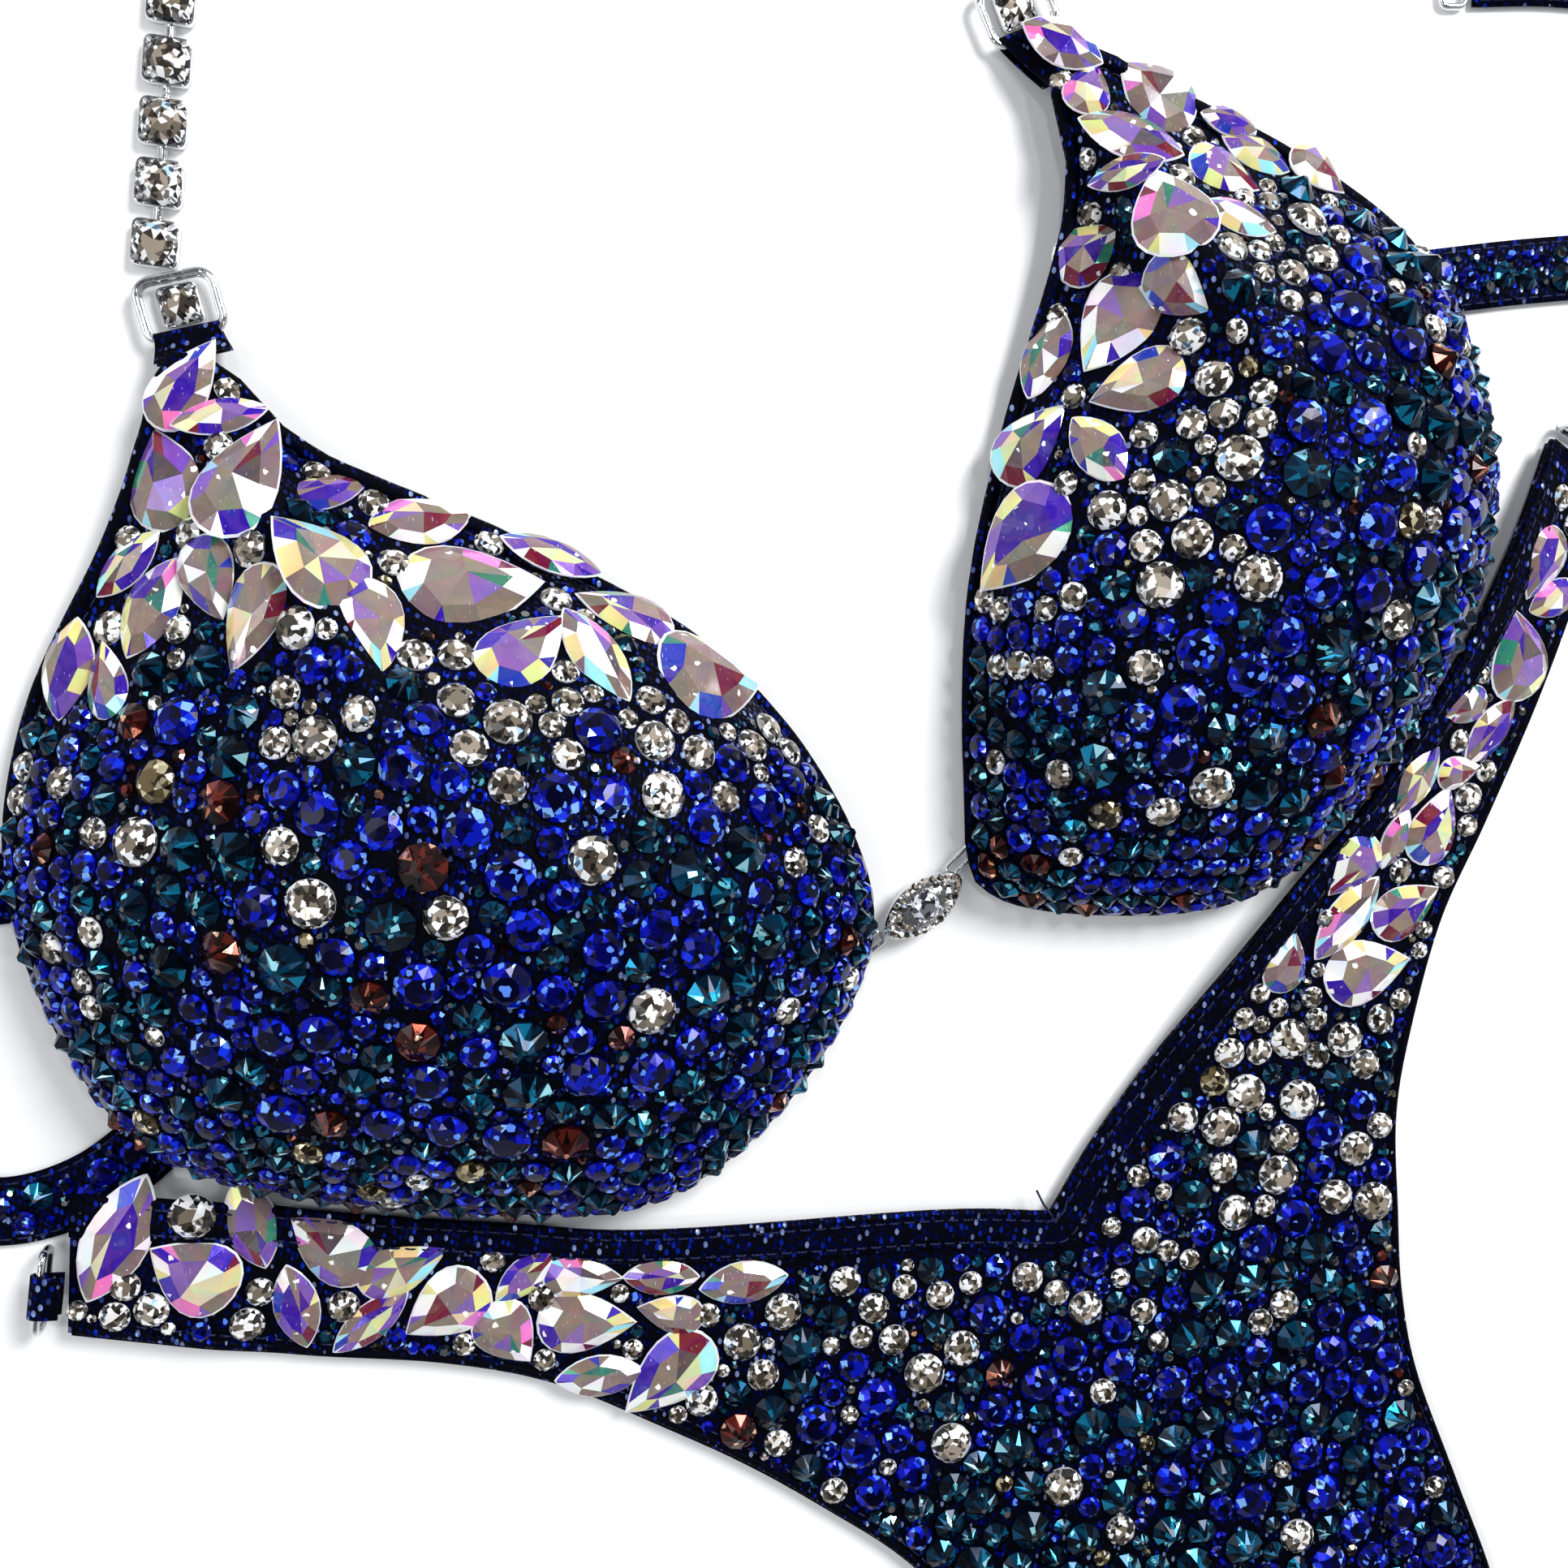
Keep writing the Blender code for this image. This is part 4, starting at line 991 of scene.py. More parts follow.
def ribbon_rows(points, width, high, columns, crown=0.0, across=8):
    """A ribbon along a line on the table, a little higher along its middle."""
    line = smooth_line(points, columns + 1)
    heading = unit(np.gradient(line, axis=0))
    rows = np.zeros((across + 1, columns + 1, 3))
    for step in range(across + 1):
        aside = (step / across - 0.5) * width
        rows[step, :, 0] = line[:, 0] - heading[:, 1] * aside
        rows[step, :, 1] = line[:, 1] + heading[:, 0] * aside
        rows[step, :, 2] = high + crown * math.sin(math.pi * step / across) ** 0.5
    return rows


STITCH_LONG = 1.7
STITCH_GAP = 0.9
STITCH_DIP = 0.10


def stitch_line(form, path, radius=0.17):
    """A row of stitches, each a short bar of thread that dips into the cloth at both ends."""
    path = np.asarray(path, float)
    along = np.concatenate([[0], np.cumsum(np.linalg.norm(np.diff(path, axis=0), axis=1))])
    start = STITCH_GAP
    while start + STITCH_LONG < along[-1]:
        spots = start + STITCH_LONG * np.array([0.0, 0.25, 0.75, 1.0])
        rows = np.stack([np.interp(spots, along, path[:, axis]) for axis in range(3)], axis=1)
        rows[:, 2] += STITCH_DIP * np.array([-1, 1, 1, -1])
        form.tube(rows, radius, sides=5)
        start += STITCH_LONG + STITCH_GAP


def dome_rows(side, inset, bands, segments):
    cup = CUPS[side]
    shares = np.sin(np.linspace(0.0, math.pi / 2, bands + 1))
    angles = cup["apex"] + np.arange(segments) * 360.0 / segments
    return cup_point(cup, shares[:, None], angles[None, :], inset)


HEM_RADIUS = 1.25
HEM_INSET = 1.5


def add_cup_fabric(side):
    """The stretched outer fabric, its rolled hem, and the stitches that hold the hem."""
    cup, body = CUPS[side], f"{side}_cup"
    fabric = build_sheet(dome_rows(side, FABRIC_INSET, 40, 160), f"{side}_cup_fabric", "glitter_mesh", body,
                         f"{side}_cup_outer_fabric", 0.5, wrap=True)

    hem = Form()
    angles = np.arange(0, 360, 2.0)
    path = cup_point(cup, np.ones(len(angles)), angles, HEM_INSET)
    path[:, 2] -= 1.0 - 0.6 * tab_share(cup, angles)
    hem.tube(path, HEM_RADIUS, sides=12, closed=True, flat=0.85)
    rolled = hem.build(f"{side}_cup_hem", "glitter_mesh", body)

    thread = Form()
    angles = np.arange(*BARE_EDGE[side], 0.5)
    shares = np.array([share_at_depth(cup, HEM_INSET, angle) for angle in angles])
    stitches = cup_point(cup, shares, angles, FABRIC_INSET)
    stitches += 0.12 * cup_normal(cup, shares, angles, FABRIC_INSET)
    stitch_line(thread, stitches, radius=0.14)
    sewn = thread.build(f"{side}_cup_stitches", "thread", body)


def add_cup_inside(side):
    """The foam shell and its lining."""
    body = f"{side}_cup"
    outer = dome_rows(side, FOAM_INSET, 24, 96)
    inner = dome_rows(side, FOAM_INSET + FOAM_THICK, 24, 96)
    foam = build_sheet(np.concatenate([outer, inner[::-1]]), f"{side}_cup_padding", "cup_foam", body,
                       f"{side}_cup_foam", wrap=True)
    lining = build_sheet(dome_rows(side, LINING_INSET, 24, 96), f"{side}_cup_inner_lining", "lining_tricot",
                         body, f"{side}_cup_lining", 0.4, wrap=True)


RIPPLE = 0.07


def panel_rows(ends, near, far, low, columns, across, crown=0.0):
    """Points of a strip of the briefs: near and far are (measured from the leg, inset)."""
    rows = np.zeros((across + 1, columns + 1, 3))
    for column in range(columns + 1):
        u = ends[0] + (ends[1] - ends[0]) * column / columns
        first = briefs_point(u, near[1], low, near[0])
        last = briefs_point(u, far[1], low, far[0])
        for step in range(across + 1):
            share = step / across
            point = first + (last - first) * share
            bulge = math.sin(math.pi * share)
            ripple = RIPPLE * math.sin(point[0] * 0.21 + point[1] * 0.13) * bulge
            point[2] = low + arm_lift(point[0], point[1]) + crown * bulge ** 0.5 + ripple
            rows[step, column] = point
    return rows


def add_panel(name, node, ends, near, far, low, thickness, material, across=16, with_pieces=()):
    """One cloth panel of the briefs."""
    rows = panel_rows(ends, near, far, low + thickness, 200, across)
    piece = build_sheet(rows, name, material, "briefs", node, thickness)


BINDING_RADIUS = 0.75


def edge_binding(name, far, low, ends):
    """A narrow rolled edge along the waist or a leg line of the briefs."""
    form = Form()
    path = [briefs_point(u, 0.5, low, far) for u in np.linspace(*ends, 220)]
    form.tube(path, BINDING_RADIUS, flat=0.8)
    return form.build(name, "glitter_mesh", "briefs")


# The thread ends left at the waist notch: steps from it, and height.
NOTCH_TACK = (
    ((0.6, -1.6, 3.9), (-0.6, 0.2, 4.4), (-1.9, 2.0, 4.3), (-3.0, 4.4, 3.7)),
    ((-1.2, -1.4, 3.9), (0.6, -0.6, 4.5), (2.0, 0.6, 4.3), (2.6, 2.2, 3.6)),
)


def briefs_stitches():
    thread = Form()
    for inset in (1.3, 5.4):
        path = [briefs_point(u, inset, 3.98) for u in np.linspace(-0.975, 0.975, 400)]
        stitch_line(thread, path)
    for ends in ((-0.96, -0.13), (0.13, 0.96)):
        path = [briefs_point(u, 2.2, 2.92, True) for u in np.linspace(*ends, 260)]
        stitch_line(thread, path)
    for tack in NOTCH_TACK:
        thread.tube([(NOTCH[0] + x, NOTCH[1] + y, high) for x, y, high in tack], 0.2, sides=6)
    return thread.build("briefs_stitches", "thread", "briefs")


def crotch_seam():
    """The seam rolled over the end of the crotch."""
    form = Form()
    first, last = turned(-31.0, -155.45), turned(31.0, -155.45)
    path = [(*(first + (last - first) * step / 30), 1.45) for step in range(31)]
    form.tube(path, 1.3, sides=12)
    return form.build("crotch_seam_roll", "glitter_mesh", "briefs", "crotch_seam")


def add_briefs_fabric():
    """Back, gusset and front panels, and what is sewn to the front."""
    waist, leg = False, True
    whole = (-0.99, 0.99)
    add_panel("briefs_back", "briefs_back_panel", whole, (waist, 1.0), (leg, -1.5), 0.0, 0.6, "glitter_mesh",
              with_pieces=["left_hip_loop_fabric", "right_hip_loop_fabric"])
    add_panel("briefs_gusset", "gusset_lining", (-0.3, 0.3), (waist, 72.0), (leg, 8.0), 1.1, 0.4,
              "lining_tricot")
    bands = []
    for name, ends, near, far in (
        ("waist_elastic", whole, (waist, 1.0), (waist, 6.0)),
        ("left_leg_elastic", (-0.99, -0.1485), (leg, 6.0), (leg, 1.0)),
        ("right_leg_elastic", (0.1485, 0.99), (leg, 6.0), (leg, 1.0)),
    ):
        rows = panel_rows(ends, near, far, 1.5, 160, 3)
        bands.append(build_sheet(rows, f"{name}_band", "elastic", "briefs", name, 0.4))
    sewn = briefs_stitches()
    bound = [
        edge_binding("left_leg_binding", leg, 2.55, (-0.985, -0.122)),
        edge_binding("right_leg_binding", leg, 2.55, (0.122, 0.985)),
        edge_binding("waist_binding", waist, 3.25, (-0.985, 0.985)),
    ]
    rows = panel_rows(whole, (waist, 0.2), (waist, CASING_WIDTH), 3.55, 260, 8, crown=0.25)
    casing = build_sheet(rows, "waist_casing_strip", "glitter_mesh", "briefs", "waist_casing", 0.5)
    add_panel("briefs_front", "briefs_front_panel", whole, (waist, 0.0), (leg, 0.0), 2.1, 0.7, "glitter_mesh",
              24, [sewn, *bound, *bands, casing, crotch_seam()])


def add_strap_fabric(side):
    """A back strap's casing, the elastic in it and its two rows of stitches."""
    body = f"{side}_cup"
    casing = build_sheet(ribbon_rows(STRAPS[side], STRAP_WIDTH, 1.22, 150, crown=0.2),
                         f"{side}_back_strap_casing", "glitter_mesh", body, f"{side}_back_strap", 0.5)
    band = build_sheet(ribbon_rows(STRAPS[side][:-1], STRAP_WIDTH - 3.0, 0.4, 120, across=3),
                       f"{side}_strap_elastic_band", "elastic", body, f"{side}_strap_elastic", 0.4)
    thread = Form()
    for row in ribbon_rows(STRAPS[side], STRAP_WIDTH - 2.0, 1.36, 300, across=1):
        stitch_line(thread, row)
    sewn = thread.build(f"{side}_strap_stitches", "thread", body)


# How round a cast ring's corners are, as a share of its smaller side, and a setting's.
RING_CORNER = 0.22
SETTING_CORNER = 0.16


def ring_path(wide, tall, wire, centre, turn, tilt=0.0, corner=RING_CORNER, count=9):
    """The middle line of a rounded-rectangle ring; tilt stands it up about its own long direction."""
    radius = min(wide, tall) * corner
    half = (wide / 2 - wire / 2, tall / 2 - wire / 2)
    path = []
    for start, (sx, sy) in enumerate(((1, 1), (-1, 1), (-1, -1), (1, -1))):
        for step in range(count):
            angle = math.radians(start * 90 + step * 90 / (count - 1))
            path.append((sx * (half[0] - radius) + radius * math.cos(angle),
                         sy * (half[1] - radius) + radius * math.sin(angle), 0.0))
    turned_up = Matrix.Rotation(math.radians(turn), 3, "Z") @ Matrix.Rotation(math.radians(tilt), 3, "X")
    return np.array(path) @ np.array(turned_up).T + np.array(centre)


def add_ring(name, node, body, wide, tall, wire, centre, turn, tilt=0.0, inner=0.0):
    """A cast ring; inner adds a second, finer ring inside the first, as on a stepped edge."""
    form = Form()
    form.tube(ring_path(wide, tall, wire, centre, turn, tilt), wire / 2, sides=12, closed=True)
    if inner:
        step = (wide - 2 * wire + inner, tall - 2 * wire + inner)
        low = (centre[0], centre[1], centre[2] - 0.25)
        form.tube(ring_path(*step, inner, low, turn, tilt), inner / 2, closed=True)
    form.build(name, "silver", body, node)


# A setting's box, from its back up: (width for a stone of radius 1, height). Its prongs, from foot to
# tip: (reach past the stone's radius, height), and how thick they are there.
SETTING_BOX = ((1.86, 0.45), (1.96, 0.6), (2.0, 1.9), (1.93, 2.1), (1.8, 2.05), (1.74, 1.3))
PRONG = ((0.05, 0.6), (0.1, 2.0), (-0.05, 2.75), (-0.6, 3.15))
PRONG_RADII = (0.42, 0.46, 0.44, 0.26)
SEAT = 1.45


def add_setting(metal, stones, x, y, heading, size, draw):
    """A round stone in a square box setting with four prongs."""
    metal.solid(np.array([
        ring_path(size * wide, size * wide, 0.0, (x, y, high), heading, corner=SETTING_CORNER, count=4)
        for wide, high in SETTING_BOX
    ]))
    for corner in range(4):
        out = way(math.radians(heading + 45 + 90 * corner))
        path = [(*(np.array([x, y]) + out * (size + reach)), high) for reach, high in PRONG]
        metal.tube(path, PRONG_RADII, sides=6)
    stones.add_stone(TEMPLATES["chaton"], size - 0.1, size * 1.02, np.array([x, y, SEAT]), UP,
                     draw.uniform(0, 6), "clear", draw)


def chain_places(side):
    """Centre of each stone in a halter chain, and the heading towards the next."""
    (x, y), heading, straight, turn = CHAINS[side]
    places = []
    for stone in range(CHAIN_GROUPS * GROUP_STONES + 1):
        heading += turn if stone >= straight else 0.0
        places.append((x, y, heading))
        x += STONE_PITCH * math.cos(math.radians(heading))
        y += STONE_PITCH * math.sin(math.radians(heading))
    return places


# A link reaches this far from the middle between two stones; a hinge leaves a gap in it.
LINK_REACH = 1.2
HINGE_GAP = 0.2


def add_link(metal, x, y, turn, away, start, end):
    """A flat bar of the chain, from start to end about a middle half a pitch away from a stone."""
    ahead = np.array([*way(turn), 0.0])
    middle = np.array([x, y, 1.0]) + away * STONE_PITCH / 2 * ahead
    metal.tube([middle + ahead * place for place in (start, (start + end) / 2, end)], 0.75, flat=0.5)


def add_chain(side):
    """The halter chain: settings joined by flat links, hinged between groups."""
    places = chain_places(side)
    draw = random.Random(51)
    for group in range(CHAIN_GROUPS):
        metal, stones = Form(), Heap()
        for index in range(group * GROUP_STONES, (group + 1) * GROUP_STONES):
            x, y, heading = places[index]
            came = places[max(0, index - 1)][2]
            add_setting(metal, stones, x, y, came, 3.5, draw)
            last = index % GROUP_STONES == GROUP_STONES - 1
            add_link(metal, x, y, math.radians(heading), 1, -LINK_REACH, -HINGE_GAP if last else LINK_REACH)
            if index and index % GROUP_STONES == 0:
                add_link(metal, x, y, math.radians(came), -1, HINGE_GAP, LINK_REACH)
        body = f"{side}_chain_{group + 1}"
        metal.build(f"{body}_settings", "silver", body, body)
        stones.build(f"{body}_stones", "clear_crystal", body, body)


# How far each tab moves aside, and widens, on its way to the cup, and how far both rise.
TAB_SHAPE = {"left": (-0.3, 0.9), "right": (-3.2, 0.3)}
TAB_LEG_RISE = 2.9
TAB_HALF = 4.8
# The strip folded round a ring's bar.
FOLD_RADIUS = 1.45
FOLD_THICK = 0.5
FOLD_STRIPS = 12


def add_neck_hardware(side):
    """The halter ring with the folded-down setting inside it, and the tab round its lower bar."""
    bar, turn = RINGS[side]
    up = way_left(math.radians(turn))
    middle = np.array(bar) + up * (RING_TALL - RING_WIRE) / 2
    body = f"{side}_neck_ring"
    add_ring(f"{side}_neck_ring_cast", body, body, RING_WIDE, RING_TALL, RING_WIRE, (*middle, RING_Z), turn,
             inner=0.55)
    metal, stones = Form(), Heap()
    add_setting(metal, stones, *(middle + up * 0.35), turn, 3.1, random.Random(52))
    metal.build(f"{side}_ring_setting_metal", "silver", body, f"{side}_ring_setting")
    stones.build(f"{side}_ring_setting_stone", "clear_crystal", body)

    cup = CUPS[side]
    reach = float(rim_reach(cup, cup["apex"]))
    tip = np.array(cup["centre"]) + reach * way(math.radians(cup["apex"]))
    legs = float(np.linalg.norm(np.array(bar) - tip)) + 1.0
    add_fold(f"{side}_tab_fabric", f"{side}_neck_tab", f"{side}_cup", (*bar, RING_Z), turn + 90, legs,
             TAB_HALF, *TAB_SHAPE[side], TAB_LEG_RISE)


def fold_outline(legs):
    """The edge of a folded strip seen from its side: its outer face, then its inner face back again."""
    layers = []
    for radius in (FOLD_RADIUS, FOLD_RADIUS - FOLD_THICK):
        profile = [(-legs, radius)]
        for angle in range(90, -91, -15):
            bend = math.radians(angle)
            profile.append((radius * math.cos(bend), radius * math.sin(bend)))
        profile.append((-legs, -radius))
        layers.append(smooth_line(profile, 44))
    return np.vstack([layers[0], layers[1][::-1]])


def add_fold(name, node, body, place, facing, legs, half_width, drift=0.0, flare=0.0, rise=0.0):
    """A strip of fabric folded round a ring's bar. Facing is the way that the fold points. At their ends its
    legs have moved aside by drift, widened by flare and gone up by rise."""
    line = fold_outline(legs)
    back = np.clip(-line[:, :1] / legs, 0, 1)
    turn = math.radians(facing)
    ahead, aside = np.array([*way(turn), 0]), np.array([*way_left(turn), 0])
    rows = np.zeros((FOLD_STRIPS + 1, len(line), 3))
    for step in range(FOLD_STRIPS + 1):
        across = step / FOLD_STRIPS * 2 - 1
        pinch = 1 - 0.10 * abs(across) ** 3
        sideways = across * (half_width + flare * back) + drift * back
        rows[step] = np.array(place) + line[:, :1] * ahead + sideways * aside
        rows[step, :, 2] += line[:, 1] * pinch + rise * back[:, 0] ** 1.4
    form = Form()
    form.solid(rows)
    form.build(name, "glitter_mesh", body, node)


def add_hip_hardware(side):
    """The ring that stands on an arm's end, and the loop round its upper bar."""
    place, turn = HIP_RINGS[side]
    body = f"{side}_hip_ring"
    add_ring(f"{side}_hip_ring_cast", body, body, HIP_RING_WIDE, HIP_RING_TALL, RING_WIRE,
             (*place, HIP_RING_Z), turn, 90.0)
    bar = (*place, HIP_RING_Z + (HIP_RING_TALL - RING_WIRE) / 2)
    add_fold(f"{side}_hip_loop_fabric", f"{side}_hip_loop", "briefs", bar, turn + 90, 3.2, 3.4, rise=-0.6)


# The connector's plate: half length and half width, and (share of them, height) up to its domed top.
PLATE_HALF = (8.0, 4.2)
PLATE_LEVELS = ((0.985, 0.0), (1.0, 0.25), (1.0, 0.95), (0.93, 1.3), (0.6, 1.65), (0.25, 1.8))
# The rows of paving: share of the plate, and stones in the row.
PAVING = ((0.86, 26), (0.63, 17))
CLAW = ((2.75, 1.4), (2.8, 2.4), (2.4, 2.85))


def marquise(step, scale=1.0):
    angle = math.tau * step
    x = PLATE_HALF[0] * scale * math.cos(angle)
    y = PLATE_HALF[1] * scale * math.sin(angle) * (1 - 0.25 * math.cos(angle) ** 2)
    return x, y


def connector_place(x, y, high=0.0):
    turn = math.radians(CONNECTOR_TURN)
    return np.array([*(np.array(CONNECTOR) + x * way(turn) + y * way_left(turn)), CONNECTOR_Z + high])


def add_connector_plate(draw):
    """The domed plate, its paving of small stones and the beads between them."""
    plate, paving, beads = Form(), Heap(), Form()
    plate.solid(np.array([[connector_place(*marquise(step / 64, scale), high) for step in range(64)]
                          for scale, high in PLATE_LEVELS]))
    plate.build("connector_cast_plate", "silver", "connector", "connector_plate")
    for scale, count in PAVING:
        for step in range(count):
            x, y = marquise(step / count, scale)
            if math.hypot(x, y) > 3.2:
                high = 1.15 + 0.5 * (1 - scale)
                spot = connector_place(x, y, high)
                lean = unit(UP + 0.25 * (spot - connector_place(0, 0, high)) / 8)
                paving.add_stone(TEMPLATES["small"], 0.68, 1.0, spot, lean, draw.uniform(0, 6), "clear", draw)
            x, y = marquise((step + 0.5) / count, scale * 1.07)
            if math.hypot(x, y) > 3.4:
                spot = connector_place(x, y, 1.35)
                beads.tube([spot, spot + UP * 0.3, spot + UP * 0.45], (0.26, 0.22, 0.08), sides=6)
    paving.build("connector_paving", "clear_crystal", "connector", "connector_plate")
    beads.build("connector_beads", "silver", "connector")


def add_connector():
    """The jewelled centre piece between the cups: plate, large stone in four claws, and two links."""
    draw = random.Random(61)
    add_connector_plate(draw)
    centre = Heap()
    centre.add_stone(TEMPLATES["brilliant"], 2.55, 2.7, connector_place(0, 0, 1.75), UP, 0.3, "smoke", draw)
    centre.build("connector_centre_stone", "clear_crystal", "connector", "connector_stone",
                 "sapphire_crystal")
    claws = Form()
    for corner in range(4):
        out = way(math.tau * (corner + 0.5) / 4)
        path = [connector_place(*(out * reach), high) for reach, high in CLAW]
        claws.tube(path, (0.34, 0.34, 0.2), sides=6)
    claws.build("connector_claws", "silver", "connector")
    for side, wide, tall, turn in (("left", 5.0, 3.0, 0.0), ("right", 7.0, 2.6, 8.0)):
        add_ring(f"connector_{side}_loop", f"connector_{side}_link", "connector", wide, tall, 0.8,
                 (*LINKS[side], LINK_Z), CONNECTOR_TURN + turn)


CLASP_Z = 1.8
CLASP_HALF = (5.0, 3.2)
CLASP_LEVER = ((-3.9, 1.7), (-3.0, 2.5), (-1.9, 3.0))


def add_closure():
    """The trigger clasp at the left chain's end, its lever, and the eye at the right chain's end."""
    x, y, heading = chain_places("left")[-1]
    turn = math.radians(heading)
    middle = np.array([x, y]) + way(turn) * 2.6

    def clasp_place(along, across):
        return (*(middle + way(turn) * along + way_left(turn) * across), CLASP_Z)

    bends = [math.radians(angle) for angle in range(180, 451, 10)]
    path = [clasp_place(CLASP_HALF[0] * math.cos(bend), CLASP_HALF[1] * math.sin(bend)) for bend in bends]
    form = Form()
    taper = np.interp(np.linspace(0, 1, len(path)), (0, 0.1, 0.8, 1), (1.15, 1.05, 0.85, 0.6))
    form.tube(path, taper, sides=12)
    form.build("clasp_cast_body", "silver", "clasp", "clasp_body")
    form = Form()
    path = [clasp_place(*spot) for spot in CLASP_LEVER]
    form.tube(smooth_line(path, 12), np.linspace(0.55, 0.4, 12), sides=10)
    form.build("clasp_thumb_lever", "silver", "clasp_lever", "clasp_lever")
    x, y, heading = chain_places("right")[-1]
    add_ring("closure_eye_ring", "closure_eye", "closure_eye", 7.0, 6.0, 1.1, (x - 1.0, y, CLASP_Z), heading)


def add_strap_ends():
    """The wire hook and eye at the back straps' ends."""
    for side, node in (("left", "left_strap_hook"), ("right", "right_strap_eye")):
        before, end = np.array(STRAPS[side][-2:], float)
        ahead = unit(end - before)
        turn = math.degrees(math.atan2(*(end - before)[::-1]))
        add_ring(f"{node}_wire", node, f"{side}_cup", 5.5, 12.0, 1.2, (*(end + ahead * 3.4), 0.9), turn)


# Materials. Every pattern is worked out from the piece's own place, in metres.


class Shader:
    """A material's node tree, with its Principled shader."""

    def __init__(self, name, roughness, metallic=0.0, **values):
        self.material = bpy.data.materials.new(name)
        self.material.use_nodes = True
        self.tree = self.material.node_tree
        self.main = self.tree.nodes["Principled BSDF"]
        self.main.inputs["Roughness"].default_value = roughness
        self.main.inputs["Metallic"].default_value = metallic
        for socket, value in values.items():
            self.main.inputs[socket.replace("_", " ")].default_value = value
        self.place = self.tree.nodes.new("ShaderNodeTexCoord").outputs["Object"]

    def node(self, kind, link=(), **settings):
        made = self.tree.nodes.new(kind)
        for name, value in settings.items():
            setattr(made, name, value)
        for socket, source in dict(link).items():
            if hasattr(source, "is_linked"):
                self.tree.links.new(source, made.inputs[socket])
            else:
                made.inputs[socket].default_value = source
        return made

    def noise(self, scale, detail=2.0):
        return self.node("ShaderNodeTexNoise", {"Vector": self.place, "Scale": scale, "Detail": detail})

    def wave(self, period, direction, distortion=0.0):
        """Bands across the X, Y or DIAGONAL direction, with that period in metres."""
        values = {"Vector": self.place, "Scale": math.tau / (20 * period), "Distortion": distortion}
        return self.node("ShaderNodeTexWave", values, bands_direction=direction).outputs["Fac"]

    def maths(self, operation, first, second):
        return self.node("ShaderNodeMath", {0: first, 1: second}, operation=operation).outputs[0]

    def mix(self, share, first, second):
        """A blend of two colours."""
        return self.node("ShaderNodeMix", {0: share, 6: first, 7: second}, data_type="RGBA").outputs[2]

    def span(self, source, low, high, to_low=0.0, to_high=1.0):
        """A value between low and high moved to lie between two others."""
        return self.node("ShaderNodeMapRange", {0: source, 1: low, 2: high, 3: to_low, 4: to_high}).outputs[0]

    def bump(self, height, distance, strength=1.0):
        made = self.node("ShaderNodeBump", {"Height": height, "Distance": distance, "Strength": strength})
        self.tree.links.new(made.outputs["Normal"], self.main.inputs["Normal"])

    def to(self, socket, source):
        self.tree.links.new(source, self.main.inputs[socket])

    def pattern(self, source, dark, light, distance, strength=1.0):
        """A pattern that sets the colour and stands up that far as relief."""
        self.to("Base Color", self.mix(source, (*dark, 1), (*light, 1)))
        self.bump(source, distance, strength)


def glitter_mesh():
    """Black stretch mesh whose slanting oval holes show a foiled blue layer below."""
    look = Shader("glitter_mesh", 0.6, Specular_IOR_Level=0.04)
    slant = look.node("ShaderNodeMapping", {"Vector": look.place, "Rotation": (0.0, 0.0, 0.35),
                                            "Scale": (1150.0, 720.0, 900.0)})
    cells = look.node("ShaderNodeTexVoronoi", {"Vector": slant.outputs[0], "Scale": 1.0, "Randomness": 0.45})
    chance = look.node("ShaderNodeSeparateColor", {0: cells.outputs["Color"]})
    hole = look.span(cells.outputs["Distance"], 0.44, 0.34)
    low = look.mix(chance.outputs[2], (0.0003, 0.0006, 0.005, 1), (0.001, 0.004, 0.07, 1))
    high = look.mix(chance.outputs[2], (0.02, 0.04, 0.20, 1), (0.26, 0.34, 0.62, 1))
    tone = look.mix(look.maths("GREATER_THAN", chance.outputs[1], 0.87), low, high)
    tone = look.mix(look.maths("GREATER_THAN", chance.outputs[0], 0.88), tone, (0.004, 0.018, 0.32, 1))
    look.to("Base Color", look.mix(hole, (0.0002, 0.0003, 0.0022, 1), tone))
    look.to("Metallic", look.maths("MULTIPLY", hole, 0.6))
    look.to("Roughness", look.span(hole, 0.0, 1.0, 0.68, 0.34))
    look.bump(cells.outputs["Distance"], 0.00025, 0.8)
    return look.material


def thread():
    """Twisted dark-blue thread."""
    look = Shader("thread", 0.5, Specular_IOR_Level=0.15)
    twist = look.wave(0.00035, "DIAGONAL", 1.0)
    look.pattern(twist, (0.002, 0.003, 0.014), (0.012, 0.02, 0.09), 0.00006)
    return look.material


def lining_tricot():
    """Smooth black lining with its fine knitted ribs."""
    look = Shader("lining_tricot", 0.62, Sheen_Weight=0.15, Specular_IOR_Level=0.15)
    ribs = look.wave(0.0006, "X", 0.6)
    look.pattern(ribs, (0.004, 0.004, 0.007), (0.018, 0.018, 0.028), 0.00012)
    return look.material


def cup_foam():
    """Dense moulded foam with a brushed face."""
    look = Shader("cup_foam", 0.92, Specular_IOR_Level=0.15)
    grain = look.noise(2600.0, 3.0).outputs["Fac"]
    look.pattern(grain, (0.008, 0.008, 0.012), (0.035, 0.035, 0.045), 0.00015)
    return look.material


def elastic():
    """Braided elastic: close ribs along its length."""
    look = Shader("elastic", 0.8, Specular_IOR_Level=0.15)
    ribs = look.maths("MAXIMUM", look.wave(0.0011, "X", 1.5), look.wave(0.0011, "Y", 1.5))
    look.pattern(ribs, (0.005, 0.005, 0.007), (0.03, 0.03, 0.036), 0.00018)
    return look.material


